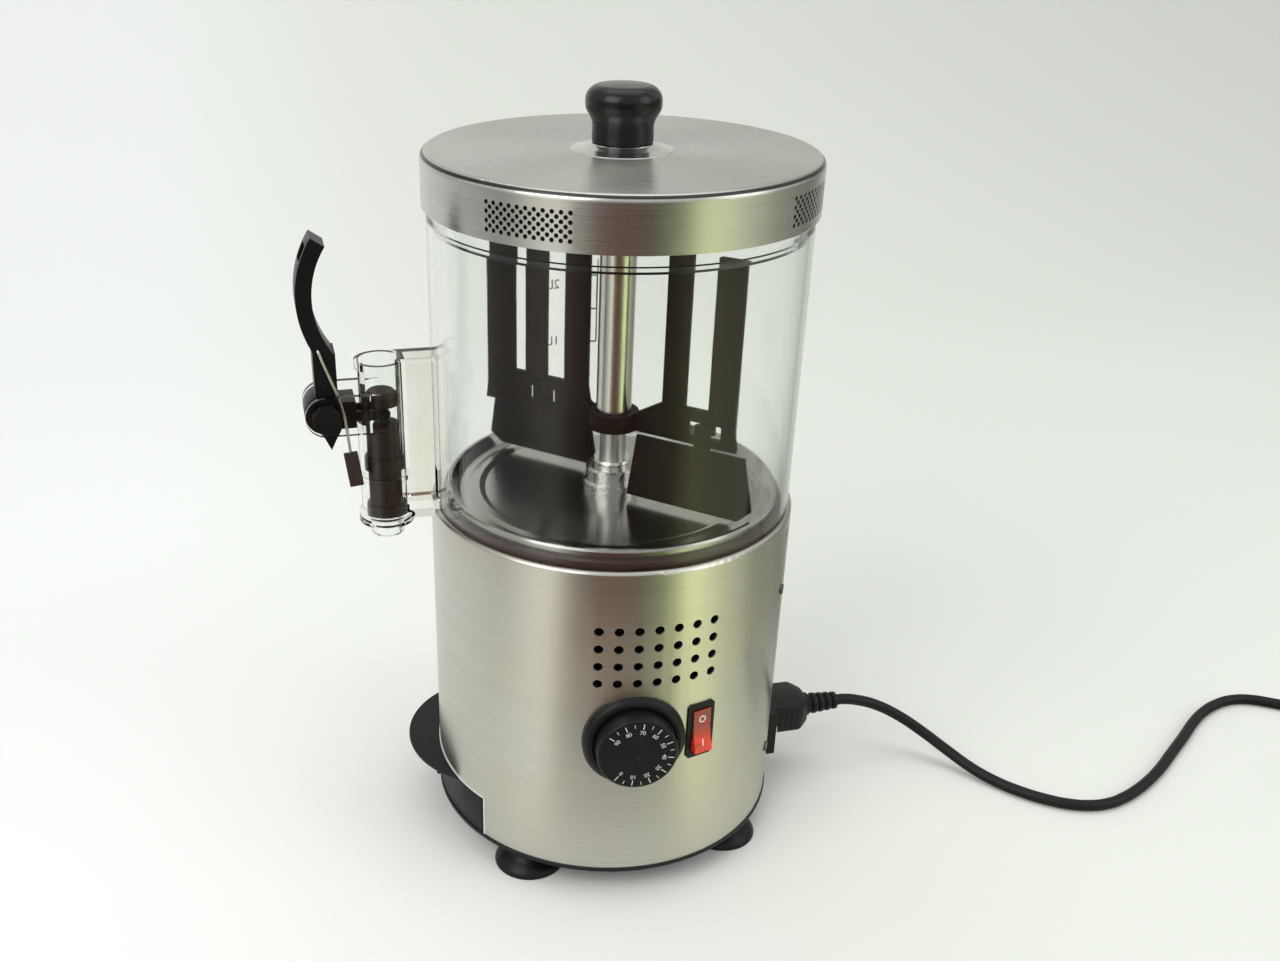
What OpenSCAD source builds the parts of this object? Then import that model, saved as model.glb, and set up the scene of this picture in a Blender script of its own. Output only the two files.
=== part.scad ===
// Hot chocolate dispenser: a heated steel base with a stirrer, a clear tank with a lever tap and a lid.
// Millimetres. The origin is on the table at the machine's axis, +Z is up. Azimuths run
// counter-clockwise, seen from above, from the side with the controls (-Y); the tap is at -90.

/* [Base and body] */
// Outer radius of the steel body and of the lid
body_r = 94; // [88:1:100]
// Sheet thickness of the steel body
shell_t = 1; // [0.8:0.1:1.2]
// Height of the steel body
body_h = 176.4; // [170:1:190]
// Height of the suction feet
foot_h = 14; // [12:1:18]
// Diameter of a suction foot
foot_d = 38; // [30:1:40]
// Radius of the circle of feet
foot_circle_r = 78; // [72:1:78]
// Thickness of the moulded base plate
base_t = 3; // [2.5:0.5:5]
// How far the base plate's lip stands out of the body
base_lip = 0.6; // [0.4:0.2:5]
// Width of the rear service panel, in degrees
panel_angle = 68; // [56:1:70]

/* [Ventilation] */
// Rows of cooling holes
vent_rows = 4; // [2:1:5]
// Columns of cooling holes
vent_columns = 7; // [3:1:8]
// Diameter of a cooling hole
vent_d = 4.7; // [3:0.1:5]
// Distance between cooling holes
vent_pitch = 9.8; // [8:0.1:10]
// Height of the top row above the shell's foot
vent_top = 144.5; // [140:1:146]

/* [Front bracket] */
// Half width of the bracket's cut-out, in degrees
bracket_half = 44.3; // [30:0.1:50]
// Azimuth of the bracket's middle, in degrees
bracket_azimuth = -101.6; // [-110:0.2:-85]
// Height of the bracket above the shell's foot
bracket_h = 24.5; // [20:0.5:30]
// Radius of the crescent ledge's outer edge
ledge_r = 52; // [46:0.5:68]
// How far the ledge stands out of the body
ledge_out = 17.7; // [14:0.1:20]
// Thickness of the ledge
ledge_t = 2; // [1.6:0.1:3]

/* [Tank] */
// Outer radius of the clear tank
tank_r = 92; // [90:0.5:92.2]
// Wall of the clear tank
tank_t = 3; // [2.4:0.1:3.4]
// Height of the tank above its seat
tank_h = 146.5; // [140:1:160]
// How deep the tank's foot sits in the body
seat_depth = 3.4; // [2:0.2:5]

/* [Lid] */
// Height of the lid's skirt
lid_h = 24.7; // [22:0.5:28]
// Height of the recessed ring below the skirt
lid_ring_h = 5.7; // [4:0.1:8]
// Sheet thickness of the lid
lid_t = 1; // [0.8:0.1:1.2]
// Radius of the lid's rolled edge
lid_edge_r = 3.5; // [2:0.5:4]
// Groups of perforations around the lid
perf_groups = 4; // [2:1:4]
// Rows of perforations in a group
perf_rows = 7; // [3:1:7]
// Perforations in a long row
perf_columns = 11; // [5:1:12]
// Diameter of a perforation
perf_d = 2; // [1.4:0.1:2.2]
// Distance between perforations of a row
perf_pitch = 4; // [3.6:0.1:4.4]
// Crown radius of the lid's knob
knob_r = 17.8; // [15:0.2:20]
// Height of the lid's knob above its ferrule
knob_h = 25.7; // [24:0.5:30]
// Height of the polished ferrule under the knob
ferrule_h = 3; // [2:0.5:5]

/* [Heating plate] */
// Radius of the heating plate
plate_r = 86; // [84:0.5:86]
// Sheet thickness of the heating plate
plate_t = 1.5; // [1.2:0.1:2]
// Depth of the plate's dish below its rim
dish_depth = 5.5; // [4:0.5:7]
// Height of the plate's rim above its seat
plate_h = 14.5; // [13:0.5:16]
// Mean radius of the heating element's ring
element_r = 60; // [56:1:62]
// Diameter of the heating element's tube
element_d = 7.6; // [6:0.2:8]

/* [Stirrer] */
// Outer diameter of the fixed standpipe
standpipe_d = 13.3; // [12:0.1:14]
// Bore of the standpipe
standpipe_bore = 8.4; // [8:0.1:9]
// Height of the standpipe above the plate's dish
standpipe_h = 122; // [110:1:124]
// Diameter of the drive shaft
shaft_d = 6.4; // [6:0.1:7]
// Outer diameter of the stirrer's chrome tube
tube_d = 18; // [17:0.5:20]
// Wall of the stirrer's chrome tube
tube_t = 1.4; // [1:0.1:1.6]
// Height of the stirrer's tube
tube_h = 99; // [90:1:102]
// Height of the hub's underside above the plate's dish
hub_rise = 33; // [30:1:36]
// Height of the stirrer's hub
hub_h = 9; // [7:0.5:12]
// Radius of the stirrer's hub
hub_r = 13; // [12:0.5:16]
// Height of the fins above the hub's underside
fin_h = 96; // [80:1:98]
// Thickness of the stirrer's wings
wing_t = 3; // [2:0.2:4]
// Azimuth of the wing with two fins
wing_azimuth = 46.2; // [40:0.2:52]
// Lean of the scraper blades
blade_lean = 17; // [8:1:20]
// Thickness of the scraper blades
blade_t = 2.4; // [1.6:0.2:3]

/* [Drive] */
// Teeth of the output gear
gear_teeth = 60; // [60:12:60]
// Teeth of the motor pinion
pinion_teeth = 12; // [12:12:12]
// Tooth module of the gear pair
gear_module = 0.8; // [0.8:0.1:0.8]
// Face width of the output gear
gear_w = 6; // [4:1:7]
// Outer diameter of the motor's can
motor_d = 46; // [40:1:46]
// Height of the motor's can
motor_h = 46; // [40:1:50]
// Height of the chassis plate above the base plate
chassis_h = 121; // [118:1:124]
// Thickness of the chassis plate
chassis_t = 2; // [1.5:0.5:3]
// Radius of the circle of tie rods
rod_circle_r = 80; // [79.8:0.1:80.2]

/* [Controls] */
// Height of the controls above the shell's foot
control_z = 81.6; // [76:0.2:86]
// Azimuth of the thermostat
dial_azimuth = -6.3; // [-8:0.1:-5]
// Outer diameter of the thermostat's bezel
bezel_d = 52; // [50:0.5:54]
// Diameter of the thermostat's dial
dial_d = 40.6; // [38:0.2:41]
// How far the dial stands out of the body
dial_out = 12.5; // [11:0.5:15]
// Azimuth of the switch
switch_azimuth = 15.4; // [15:0.1:18]
// Width of the switch's frame
switch_w = 15.6; // [15:0.2:17]
// Height of the switch's frame
switch_h = 32; // [30:0.5:34]
// Tilt of the rocker each way from the middle, in degrees
rocker_tilt = 8; // [6:0.5:9]

/* [Tap] */
// Distance of the tap's tube from the machine's axis
tap_x = 117.5; // [116:0.5:120]
// Outer diameter of the tap's tube
tap_d = 24.5; // [24:0.5:26]
// Bore of the tap's tube
tap_bore = 20; // [19:0.2:20.4]
// Height of the tap's tube
tap_h = 84.5; // [82:0.5:90]
// Height of the outlet nozzle below the tube
outlet_h = 7; // [5:0.5:10]
// Outer diameter of the outlet nozzle
outlet_d = 16.5; // [16:0.5:18]
// Bore of the outlet nozzle
outlet_bore = 12; // [10:0.5:13]
// Width of the duct between tank and tap
duct_w = 15; // [14:0.5:17]
// Distance of the lever's pivot from the tube's axis
arm_l = 27.5; // [26.5:0.5:29]
// Height of the lever's pivot above the tube's foot
pivot_h = 61; // [59:0.5:62]
// Diameter of the lever's pin
pin_d = 6; // [5:0.2:7]
// Width of the lever
lever_w = 16; // [14:0.5:16.6]
// Height of the lever's tip above the pivot
lever_h = 83; // [78:1:88]
// Diameter of the plunger's stem
plunger_d = 16.4; // [15:0.2:17]
// Diameter of the return spring's wire
wire_d = 1.5; // [1.2:0.1:1.8]

/* [Mains inlet and cord] */
// Height of the inlet above the shell's foot
inlet_z = 22; // [20:0.5:30]
// Width of the inlet's flange
inlet_w = 50; // [46:1:54]
// Height of the inlet's flange
inlet_h = 28; // [26:1:30]
// Diameter of the mains cord
cord_d = 6.5; // [6:0.1:7]
// Mean radius of the coil's outermost turn
coil_r = 43; // [42:1:50]
// Whole turns in each of the coil's two layers
coil_turns = 2; // [2:1:2]

/* [Clearances] */
// Between pieces that are assembled and stay put
fit = 0.1; // [0.05:0.05:0.2]
// Radial running clearance of shafts and pins
running = 0.05; // [0.03:0.01:0.08]
// Between soft or loose pieces and what they rest against
loose = 0.3; // [0.2:0.05:0.4]

/* [Hidden] */
$fn = 64;

steel = [0.74, 0.72, 0.68];
chrome = [0.86, 0.86, 0.85];
black = [0.06, 0.06, 0.07];
charcoal = [0.16, 0.16, 0.17];
cocoa = [0.19, 0.13, 0.12];
brass = [0.75, 0.62, 0.30];
copper = [0.72, 0.42, 0.26];
clear = [0.90, 0.93, 0.92, 0.35];
white = [0.88, 0.87, 0.84];

// Heights, from the table up
base_z = foot_h;
shell_z = base_z + base_t;
body_top = shell_z + body_h;
seat_z = body_top - seat_depth;
plate_seat_z = seat_z - 3;
ring_z = plate_seat_z - 7;
rim_z = plate_seat_z + plate_h;
dish_z = rim_z - dish_depth;
tank_z = seat_z + fit;
tank_top = seat_z + tank_h;
skirt_z = tank_top + lid_ring_h;
lid_top = skirt_z + lid_h;
ferrule_top = lid_top + ferrule_h;
chassis_z = shell_z + chassis_h;
chassis_top = chassis_z + chassis_t;

// Radii shared by neighbours
shell_in = body_r - shell_t;
tank_in = tank_r - tank_t;
gasket_out = tank_in - loose;
seat_in = plate_r - 10;
ledge_in = seat_in - 5;
shaft_r = shaft_d / 2;
pipe_r = standpipe_d / 2;
pipe_in = standpipe_bore / 2;

// Places of the four tie rods and of the four feet
rod_azimuths = [30, 150, 210, 330];
foot_azimuths = [45, 135, 225, 315];
rod_low_r = 4;
rod_high_r = 3;
tap_hole_r = 1.6;
rod_hole_depth = 12;

// Turns its children, which are built outward along +X, to an azimuth
module at_side(azimuth) {
    rotate([0, 0, azimuth - 90]) children();
}

// A wedge of the plane from one azimuth to another, built for at_side(0)
module wedge(from, to, reach) {
    steps = 12;
    polygon(concat([[0, 0]], [for (i = [0:steps]) let (a = from + (to - from) * i / steps)
        [reach * cos(a), reach * sin(a)]]));
}

function cross_of(a, b) = [a.y * b.z - a.z * b.y, a.z * b.x - a.x * b.z, a.x * b.y - a.y * b.x];
function unit(v) = v / norm(v);

// A tube swept along points, with one ring of sides at each; no stretch runs along the reference
module swept_tube(points, r, sides, reference = [0, 0, 1]) {
    n = len(points);
    steps = [for (i = [0:n - 2]) unit(points[i + 1] - points[i])];
    dirs = [for (i = [0:n - 1]) unit(steps[max(i - 1, 0)] + steps[min(i, n - 2)])];
    rings = [for (i = [0:n - 1]) let (side = unit(cross_of(dirs[i], reference)), up = cross_of(side, dirs[i]))
        for (k = [0:sides - 1]) let (a = 360 * (k + 0.5) / sides)
            points[i] + r * cos(a) * side + r * sin(a) * up];
    caps = [[for (k = [0:sides - 1]) sides - 1 - k], [for (k = [0:sides - 1]) (n - 1) * sides + k]];
    sides_of = [for (i = [0:n - 2]) for (k = [0:sides - 1]) let (a = i * sides + k, b = i * sides + (k + 1) % sides)
        each [[a, b + sides, a + sides], [a, b, b + sides]]];
    polyhedron(points = rings, faces = concat(caps, sides_of));
}

// A thin wire or pipe with bent corners, which may also run straight up
module wire_run(points, r) {
    swept_tube(points, r, 8, [1, 2, 0.5]);
}

// A screw that points down: a round head on a shank, its head's underside at the origin
module screw(head_r, head_h, shank_r, length) {
    cylinder(r = head_r, h = head_h, $fn = 32);
    translate([0, 0, -length]) cylinder(r = shank_r, h = length + head_h / 2, $fn = 24);
}

// ---- Base and body ----

spigot_t = 3;
spigot_h = 8;
foot_hole_r = 2.6;
counterbore_r = 4;
counterbore_h = 2;

module base_plate() {
    color(charcoal) difference() {
        rotate_extrude($fn = 180) polygon([[0, base_z], [body_r + base_lip - 1, base_z],
            [body_r + base_lip, base_z + 1], [body_r + base_lip, shell_z - 0.3],
            [body_r + base_lip - 0.3, shell_z], [shell_in - fit, shell_z],
            [shell_in - fit, shell_z + spigot_h], [shell_in - fit - spigot_t, shell_z + spigot_h],
            [shell_in - fit - spigot_t, shell_z], [0, shell_z]]);
        for (a = foot_azimuths) at_side(a) translate([foot_circle_r, 0, base_z - 1])
            cylinder(r = foot_hole_r, h = base_t + 2);
        for (a = rod_azimuths) at_side(a) translate([rod_circle_r, 0, base_z - 1]) {
            cylinder(r = tap_hole_r, h = base_t + 2, $fn = 24);
            cylinder(r = counterbore_r, h = counterbore_h + 1, $fn = 32);
        }
        // The spigot is open behind the bracket
        at_side(bracket_azimuth) translate([0, 0, shell_z]) linear_extrude(spigot_h + 1) difference() {
            wedge(-bracket_half - 1, bracket_half + 1, body_r);
            circle(r = shell_in - fit - spigot_t - 2);
        }
        for (r = [24, 38, 52]) for (a = [0:30:330]) rotate([0, 0, a])
            translate([r, 0, base_z - 1]) cylinder(r = 2.5, h = base_t + 2, $fn = 24);
    }
}

foot_stem_r = 9;
foot_insert_r = 2.4;

module suction_feet() {
    color(black) for (a = foot_azimuths) at_side(a) translate([foot_circle_r, 0, 0])
        rotate_extrude() polygon([[foot_insert_r, foot_h], [foot_stem_r, foot_h],
            [foot_stem_r + 1, foot_h - 1], [foot_stem_r + 1.5, foot_h - 4],
            [foot_d / 2 - 4, foot_h - 8], [foot_d / 2 - 1, 3], [foot_d / 2, 0.8], [foot_d / 2, 0],
            [foot_d / 2 - 2, 0], [foot_d / 2 - 5, 1.6], [foot_insert_r + 5, 3.4],
            [foot_insert_r, 4.4]]);
}

module foot_screws() {
    color(steel) for (a = foot_azimuths) at_side(a)
        translate([foot_circle_r, 0, shell_z]) difference() {
            screw(5, 2.6, foot_insert_r - fit, base_t + foot_h - 6);
            translate([0, 0, 1.4]) for (t = [0, 90]) rotate([0, 0, t])
                translate([-3, -0.5, 0]) cube([6, 1, 2]);
        }
}

panel_half = panel_angle / 2;
panel_gap = 0.6;
panel_top = seat_z - 6;
joggle = 4;
panel_screw_r = 1.5;
panel_screw_levels = [0.2, 0.8];
lip_r = 2;
strip_z = shell_z + spigot_h + 1;

// The places of the rear panel's screws, built for children that point outward along +X
module at_panel_screws() {
    for (s = [-1, 1]) for (k = panel_screw_levels) at_side(90 + s * (panel_half - joggle / 2))
        translate([body_r, 0, shell_z + (panel_top - shell_z) * k]) children();
}

module vent_holes() {
    step = vent_pitch / body_r * 180 / PI;
    for (row = [0:vent_rows - 1]) for (col = [0:vent_columns - 1])
        at_side(step * (col - (vent_columns - 1) / 2))
            translate([shell_in - 3, 0, shell_z + vent_top - vent_pitch * row])
                rotate([0, 90, 0]) cylinder(d = vent_d, h = shell_t + 6, $fn = 24);
}

nose_r = 4.8;

module body_shell() {
    color(steel) difference() {
        union() {
            rotate_extrude($fn = 180) {
                translate([shell_in, shell_z]) square([shell_t, body_top - lip_r - shell_z]);
                translate([body_r - lip_r, body_top - lip_r]) intersection() {
                    difference() {
                        circle(r = lip_r, $fn = 48);
                        circle(r = lip_r - shell_t, $fn = 48);
                    }
                    square([lip_r, lip_r]);
                }
            }
            at_side(90) translate([0, 0, strip_z]) linear_extrude(ring_z - loose - strip_z) intersection() {
                difference() {
                    circle(r = shell_in + shell_t / 2, $fn = 180);
                    circle(r = shell_in - shell_t, $fn = 180);
                }
                union() {
                    wedge(-panel_half - 3, -panel_half + joggle, body_r + 5);
                    wedge(panel_half - joggle, panel_half + 3, body_r + 5);
                }
            }
        }
        at_side(90) translate([0, 0, shell_z - 1]) linear_extrude(panel_top - shell_z + 1) difference() {
            wedge(-panel_half, panel_half, body_r + 5);
            circle(r = shell_in, $fn = 180);
        }
        at_side(90) translate([0, 0, shell_z - 1]) linear_extrude(panel_top - shell_z + 1)
            difference() {
                wedge(-panel_half + joggle, panel_half - joggle, body_r + 5);
                circle(r = shell_in - 4);
            }
        at_panel_screws() translate([-6, 0, 0]) rotate([0, 90, 0])
            cylinder(r = panel_screw_r, h = 8, $fn = 24);
        at_side(bracket_azimuth) translate([0, 0, shell_z - 1]) linear_extrude(bracket_h + 1)
            wedge(-bracket_half, bracket_half, body_r + 5);
        vent_holes();
        at_side(dial_azimuth) translate([shell_in - 5, 0, shell_z + control_z])
            rotate([0, 90, 0]) cylinder(r = nose_r + fit, h = 10, $fn = 32);
        at_side(switch_azimuth) translate([shell_in - 5, -switch_body_w / 2 - fit,
            shell_z + control_z - switch_body_h / 2 - fit])
            cube([10, switch_body_w + 2 * fit, switch_body_h + 2 * fit]);
    }
}

socket_w = 30;
socket_h = 22;
inlet_screw_x = inlet_w / 2 - 5;

module rear_panel() {
    color(steel) at_side(90) difference() {
        translate([0, 0, shell_z]) linear_extrude(panel_top - shell_z - 2 * panel_gap)
            intersection() {
                difference() {
                    circle(r = body_r, $fn = 180);
                    circle(r = shell_in + panel_gap / 2, $fn = 180);
                }
                wedge(-panel_half + panel_gap / 2, panel_half - panel_gap / 2, body_r + 5);
            }
        translate([shell_in - 8, -socket_w / 2 - fit, shell_z + inlet_z - socket_h / 2 - fit])
            cube([16, socket_w + 2 * fit, socket_h + 2 * fit]);
        for (s = [-1, 1]) translate([shell_in - 8, s * inlet_screw_x, shell_z + inlet_z])
            rotate([0, 90, 0]) cylinder(r = panel_screw_r + fit, h = 16, $fn = 24);
        rotate([0, 0, 0]) for (s = [-1, 1]) for (k = panel_screw_levels)
            rotate([0, 0, s * (panel_half - joggle / 2)])
                translate([shell_in - 4, 0, shell_z + (panel_top - shell_z) * k])
                    rotate([0, 90, 0]) cylinder(r = panel_screw_r + fit, h = 8, $fn = 24);
    }
}

module panel_screws() {
    color(chrome) at_panel_screws() translate([fit, 0, 0]) rotate([0, 90, 0])
        screw(2.8, 0.8, panel_screw_r - fit, 4.6);
}

hook_w = 8;
hook_out = 5;
hook_h = 9;
hook_spread = 15.5;

module at_hooks() {
    for (s = [-1, 1]) rotate([0, 0, s * hook_spread])
        translate([0, 0, shell_z + bracket_h - ledge_t - hook_h]) children();
}

module front_bracket() {
    skirt_in = shell_in - 1.2;
    color(charcoal) at_side(bracket_azimuth) {
        difference() {
            union() {
                translate([0, 0, shell_z]) linear_extrude(bracket_h - fit) intersection() {
                    difference() {
                        circle(r = body_r, $fn = 180);
                        circle(r = skirt_in, $fn = 180);
                    }
                    wedge(-bracket_half + 0.2, bracket_half - 0.2, body_r + 5);
                }
                translate([0, 0, shell_z + bracket_h - ledge_t - fit])
                    linear_extrude(ledge_t) intersection() {
                        difference() {
                            translate([body_r + ledge_out - ledge_r, 0]) circle(r = ledge_r, $fn = 180);
                            circle(r = skirt_in, $fn = 180);
                        }
                        wedge(-bracket_half - 10, bracket_half + 10, body_r + 50);
                    }
                at_hooks() translate([body_r - 2, -hook_w / 2, 0]) cube([hook_out + 2, hook_w, hook_h]);
            }
            // Outside the cut-out the ledge clears the steel
            difference() {
                translate([0, 0, shell_z - 1]) cylinder(r = body_r + loose, h = bracket_h + 2, $fn = 180);
                translate([0, 0, shell_z - 2]) linear_extrude(bracket_h + 4)
                    wedge(-bracket_half + 0.2, bracket_half - 0.2, body_r + 9);
            }
            at_hooks() translate([body_r + 1, -hook_w, 2.5]) cube([2, 2 * hook_w, hook_h - 4.5]);
        }
    }
}

module seat_ring() {
    color(charcoal) difference() {
        rotate_extrude($fn = 180) polygon([[ledge_in, ring_z], [shell_in - fit, ring_z],
            [shell_in - fit, seat_z], [tank_in + loose, seat_z], [tank_in + loose, plate_seat_z],
            [seat_in, plate_seat_z], [seat_in, ring_z + 2], [ledge_in, ring_z + 2]]);
        for (a = rod_azimuths) at_side(a) translate([rod_circle_r, 0, ring_z - 1])
            cylinder(r = tap_hole_r + fit, h = 20, $fn = 24);
    }
}

module tie_rods() {
    color(steel) for (a = rod_azimuths) at_side(a) translate([rod_circle_r, 0, 0]) difference() {
        union() {
            translate([0, 0, shell_z]) cylinder(r = rod_low_r, h = chassis_z - shell_z, $fn = 32);
            translate([0, 0, chassis_z - 1]) cylinder(r = rod_high_r, h = ring_z - chassis_z + 1, $fn = 32);
        }
        translate([0, 0, shell_z - 1]) cylinder(r = tap_hole_r, h = rod_hole_depth + 1, $fn = 24);
        translate([0, 0, ring_z - rod_hole_depth]) cylinder(r = tap_hole_r, h = rod_hole_depth + 1, $fn = 24);
    }
}

tie_head_r = 3.4;

module tie_screws() {
    color(chrome) for (a = rod_azimuths) at_side(a) translate([rod_circle_r, 0, 0]) {
        translate([0, 0, plate_seat_z]) screw(tie_head_r, 2, tap_hole_r - fit, plate_seat_z - ring_z + 9);
        translate([0, 0, base_z + counterbore_h]) rotate([180, 0, 0])
            screw(tie_head_r, 1.6, tap_hole_r - fit, base_t - counterbore_h + 9);
    }
}

chassis_r = rod_circle_r + 6;
case_screw_circle = 32.6;
case_screw_azimuths = [45, 135, 225, 315];
output_hole_r = 9;

module chassis_plate() {
    color(steel) difference() {
        translate([0, 0, chassis_z]) cylinder(r = chassis_r, h = chassis_t, $fn = 120);
        translate([0, 0, chassis_z - 1]) cylinder(r = output_hole_r, h = chassis_t + 2);
        for (a = rod_azimuths) at_side(a) translate([rod_circle_r, 0, chassis_z - 1])
            cylinder(r = rod_high_r + fit, h = chassis_t + 2, $fn = 32);
        for (a = case_screw_azimuths) at_side(a) translate([case_screw_circle, 0, chassis_z - 1])
            cylinder(r = tap_hole_r + fit, h = chassis_t + 2, $fn = 24);
        at_side(dial_azimuth) translate([capillary_x, 0, chassis_z - 1])
            cylinder(r = 4, h = chassis_t + 2, $fn = 32);
        for (p = wire_ways) translate([p.x, p.y, chassis_z - 1]) cylinder(r = 4.5, h = chassis_t + 2, $fn = 32);
    }
}

// ---- Heating plate and what lies under it ----

module plate_gasket() {
    color([0.32, 0.17, 0.15]) rotate_extrude($fn = 180) polygon([[plate_r + fit, plate_seat_z],
        [gasket_out, plate_seat_z], [gasket_out, rim_z - 5], [gasket_out - 0.8, rim_z - 4],
        [plate_r + fit, rim_z - 4]]);
}

module heating_plate() {
    r = plate_r;
    t = plate_t;
    color(steel) rotate_extrude($fn = 180) polygon([
        [pipe_r + fit, dish_z], [r - 20, dish_z], [r - 17, dish_z + 1.2], [r - 14, dish_z + 1.2],
        [r - 11, dish_z + 0.4], [r - 7, dish_z + 0.4], [r - 4, rim_z - 1.5], [r - 2.6, rim_z],
        [r - 1, rim_z], [r, rim_z - 1], [r, plate_seat_z], [r - t, plate_seat_z],
        [r - t, rim_z - t - 0.4], [r - 2.8, rim_z - t - 0.4], [r - 6, dish_z + 0.4 - t],
        [r - 11, dish_z + 0.4 - t], [r - 14, dish_z + 1.2 - t], [r - 17, dish_z + 1.2 - t],
        [r - 20, dish_z - t], [pipe_r + fit, dish_z - t]]);
}

under_z = dish_z - plate_t;
element_tube = element_d / 2;
element_z = under_z - element_tube - fit / 2;
element_gap = 20;
leg_r = element_tube + 0.5;
element_leg_z = ring_z - 6;
spreader_r = element_r - element_tube - 2;
spreader_t = 4;

// The heating element's two legs, built for children at the top of each leg
module at_element_legs() {
    for (s = [-1, 1]) at_side(90 + s * element_gap) translate([element_r, 0, 0]) children();
}

module heating_element() {
    color([0.35, 0.33, 0.31]) {
        rotate([0, 0, element_gap]) rotate_extrude(angle = 360 - 2 * element_gap, $fn = 120)
            translate([element_r, element_z]) circle(r = element_tube, $fn = 32);
        at_element_legs() {
            translate([0, 0, element_leg_z]) cylinder(r = leg_r, h = under_z - 1 - element_leg_z, $fn = 32);
            translate([0, 0, element_leg_z - 8]) cylinder(r = 1.2, h = 9, $fn = 24);
        }
    }
}

nut_r = 11;

module heat_spreader() {
    color([0.80, 0.80, 0.80]) difference() {
        translate([0, 0, under_z - spreader_t]) cylinder(r = spreader_r, h = spreader_t - fit / 2, $fn = 96);
        translate([0, 0, under_z - spreader_t - 1]) cylinder(r = nut_r + 2, h = spreader_t + 2);
        at_side(dial_azimuth) translate([bulb_x0 - 4, -bulb_r - 1, under_z - spreader_t - 1])
            cube([bulb_l + 14, 2 * bulb_r + 2, spreader_t + 2]);
        translate([-cutout_x, 0, under_z - spreader_t - 1]) cylinder(r = cutout_r + 1, h = spreader_t + 2);
    }
}

disc_t = 3;
disc_z = ring_z + 2;

module insulation_disc() {
    color(white) difference() {
        translate([0, 0, disc_z]) cylinder(r = seat_in - fit, h = disc_t, $fn = 120);
        translate([0, 0, disc_z - 1]) cylinder(r = pipe_r + 1, h = disc_t + 2);
        at_element_legs() translate([0, 0, disc_z - 1]) cylinder(r = leg_r + 0.4, h = disc_t + 2);
        at_side(dial_azimuth) translate([capillary_in, 0, disc_z - 1]) cylinder(r = 2.5, h = disc_t + 2, $fn = 32);
        for (s = [-1, 1]) translate([-cutout_x, 4 * s, disc_z - 1]) cylinder(r = 2, h = disc_t + 2, $fn = 24);
    }
}

pipe_foot_z = ring_z - 4;
pipe_top = dish_z + standpipe_h;
bush_h = 8;

module standpipe() {
    color(steel) translate([0, 0, pipe_foot_z]) difference() {
        cylinder(r = pipe_r, h = pipe_top - pipe_foot_z);
        translate([0, 0, -1]) cylinder(r = pipe_in, h = pipe_top - pipe_foot_z + 2);
    }
}

module standpipe_nuts() {
    bore = pipe_r + fit / 2;
    color(chrome) {
        rotate_extrude() polygon([[bore, dish_z], [15, dish_z], [15, dish_z + 4], [14, dish_z + 5],
            [13.5, dish_z + 5], [13.5, dish_z + 11], [12.5, dish_z + 12], [10, dish_z + 12],
            [10, dish_z + 15], [9.4, dish_z + 16], [bore, dish_z + 16]]);
        translate([0, 0, under_z - 6]) difference() {
            cylinder(r = nut_r, h = 6 - fit / 2, $fn = 6);
            translate([0, 0, -1]) cylinder(r = bore, h = 8);
        }
    }
}

module shaft_bushes() {
    color(brass) for (z = [pipe_foot_z, pipe_top - bush_h]) translate([0, 0, z]) difference() {
        cylinder(r = pipe_in - fit / 2, h = bush_h);
        translate([0, 0, -1]) cylinder(r = shaft_r + running, h = bush_h + 2);
    }
}

// ---- Drive: a geared motor hangs under the chassis plate ----

case_h = 20;
case_wall = 2;
case_z = chassis_z - case_h;
gear_pitch_r = gear_teeth * gear_module / 2;
pinion_pitch_r = pinion_teeth * gear_module / 2;
centre_distance = gear_pitch_r + pinion_pitch_r;
gear_z = case_z + 6;
case_bore_r = gear_pitch_r + 3;
case_r = case_bore_r + case_wall;
motor_bore_r = pinion_pitch_r + 3;
case_floor = 3;
boss_r = 4.5;

module case_outline(grow) {
    circle(r = case_bore_r + grow, $fn = 96);
    translate([centre_distance, 0]) circle(r = motor_bore_r + grow);
}

module gearbox_case() {
    color([0.55, 0.56, 0.58]) translate([0, 0, case_z]) difference() {
        union() {
            linear_extrude(case_h) case_outline(case_wall);
            for (a = case_screw_azimuths) at_side(a) translate([case_screw_circle, 0, 0])
                cylinder(r = boss_r, h = case_h, $fn = 32);
            translate([centre_distance, 0, 0]) cylinder(r = motor_d / 2, h = case_floor);
        }
        translate([0, 0, case_floor]) linear_extrude(case_h - case_floor + 1) case_outline(0);
        translate([0, 0, -1]) cylinder(r = shaft_r + running, h = case_h, $fn = 48);
        translate([centre_distance, 0, -1]) cylinder(r = rotor_shaft_r + running, h = case_h, $fn = 48);
        for (a = case_screw_azimuths) at_side(a) translate([case_screw_circle, 0, case_h - 12])
            cylinder(r = tap_hole_r, h = 13, $fn = 24);
    }
}

module gearbox_screws() {
    color(chrome) for (a = case_screw_azimuths) at_side(a)
        translate([case_screw_circle, 0, chassis_top]) screw(3, 2, tap_hole_r - fit, chassis_t + 8);
}

// One tooth and one gap, repeated; teeth are straight-sided with a little backlash
function gear_points(teeth, m) = let (r = teeth * m / 2, pitch = 360 / teeth)
    [for (i = [0:teeth - 1]) for (p = [[-0.30, -1.2], [-0.11, 0.9], [0.11, 0.9], [0.30, -1.2]])
        let (a = (i + p[0]) * pitch, d = r + p[1] * m) [d * cos(a), d * sin(a)]];

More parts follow.
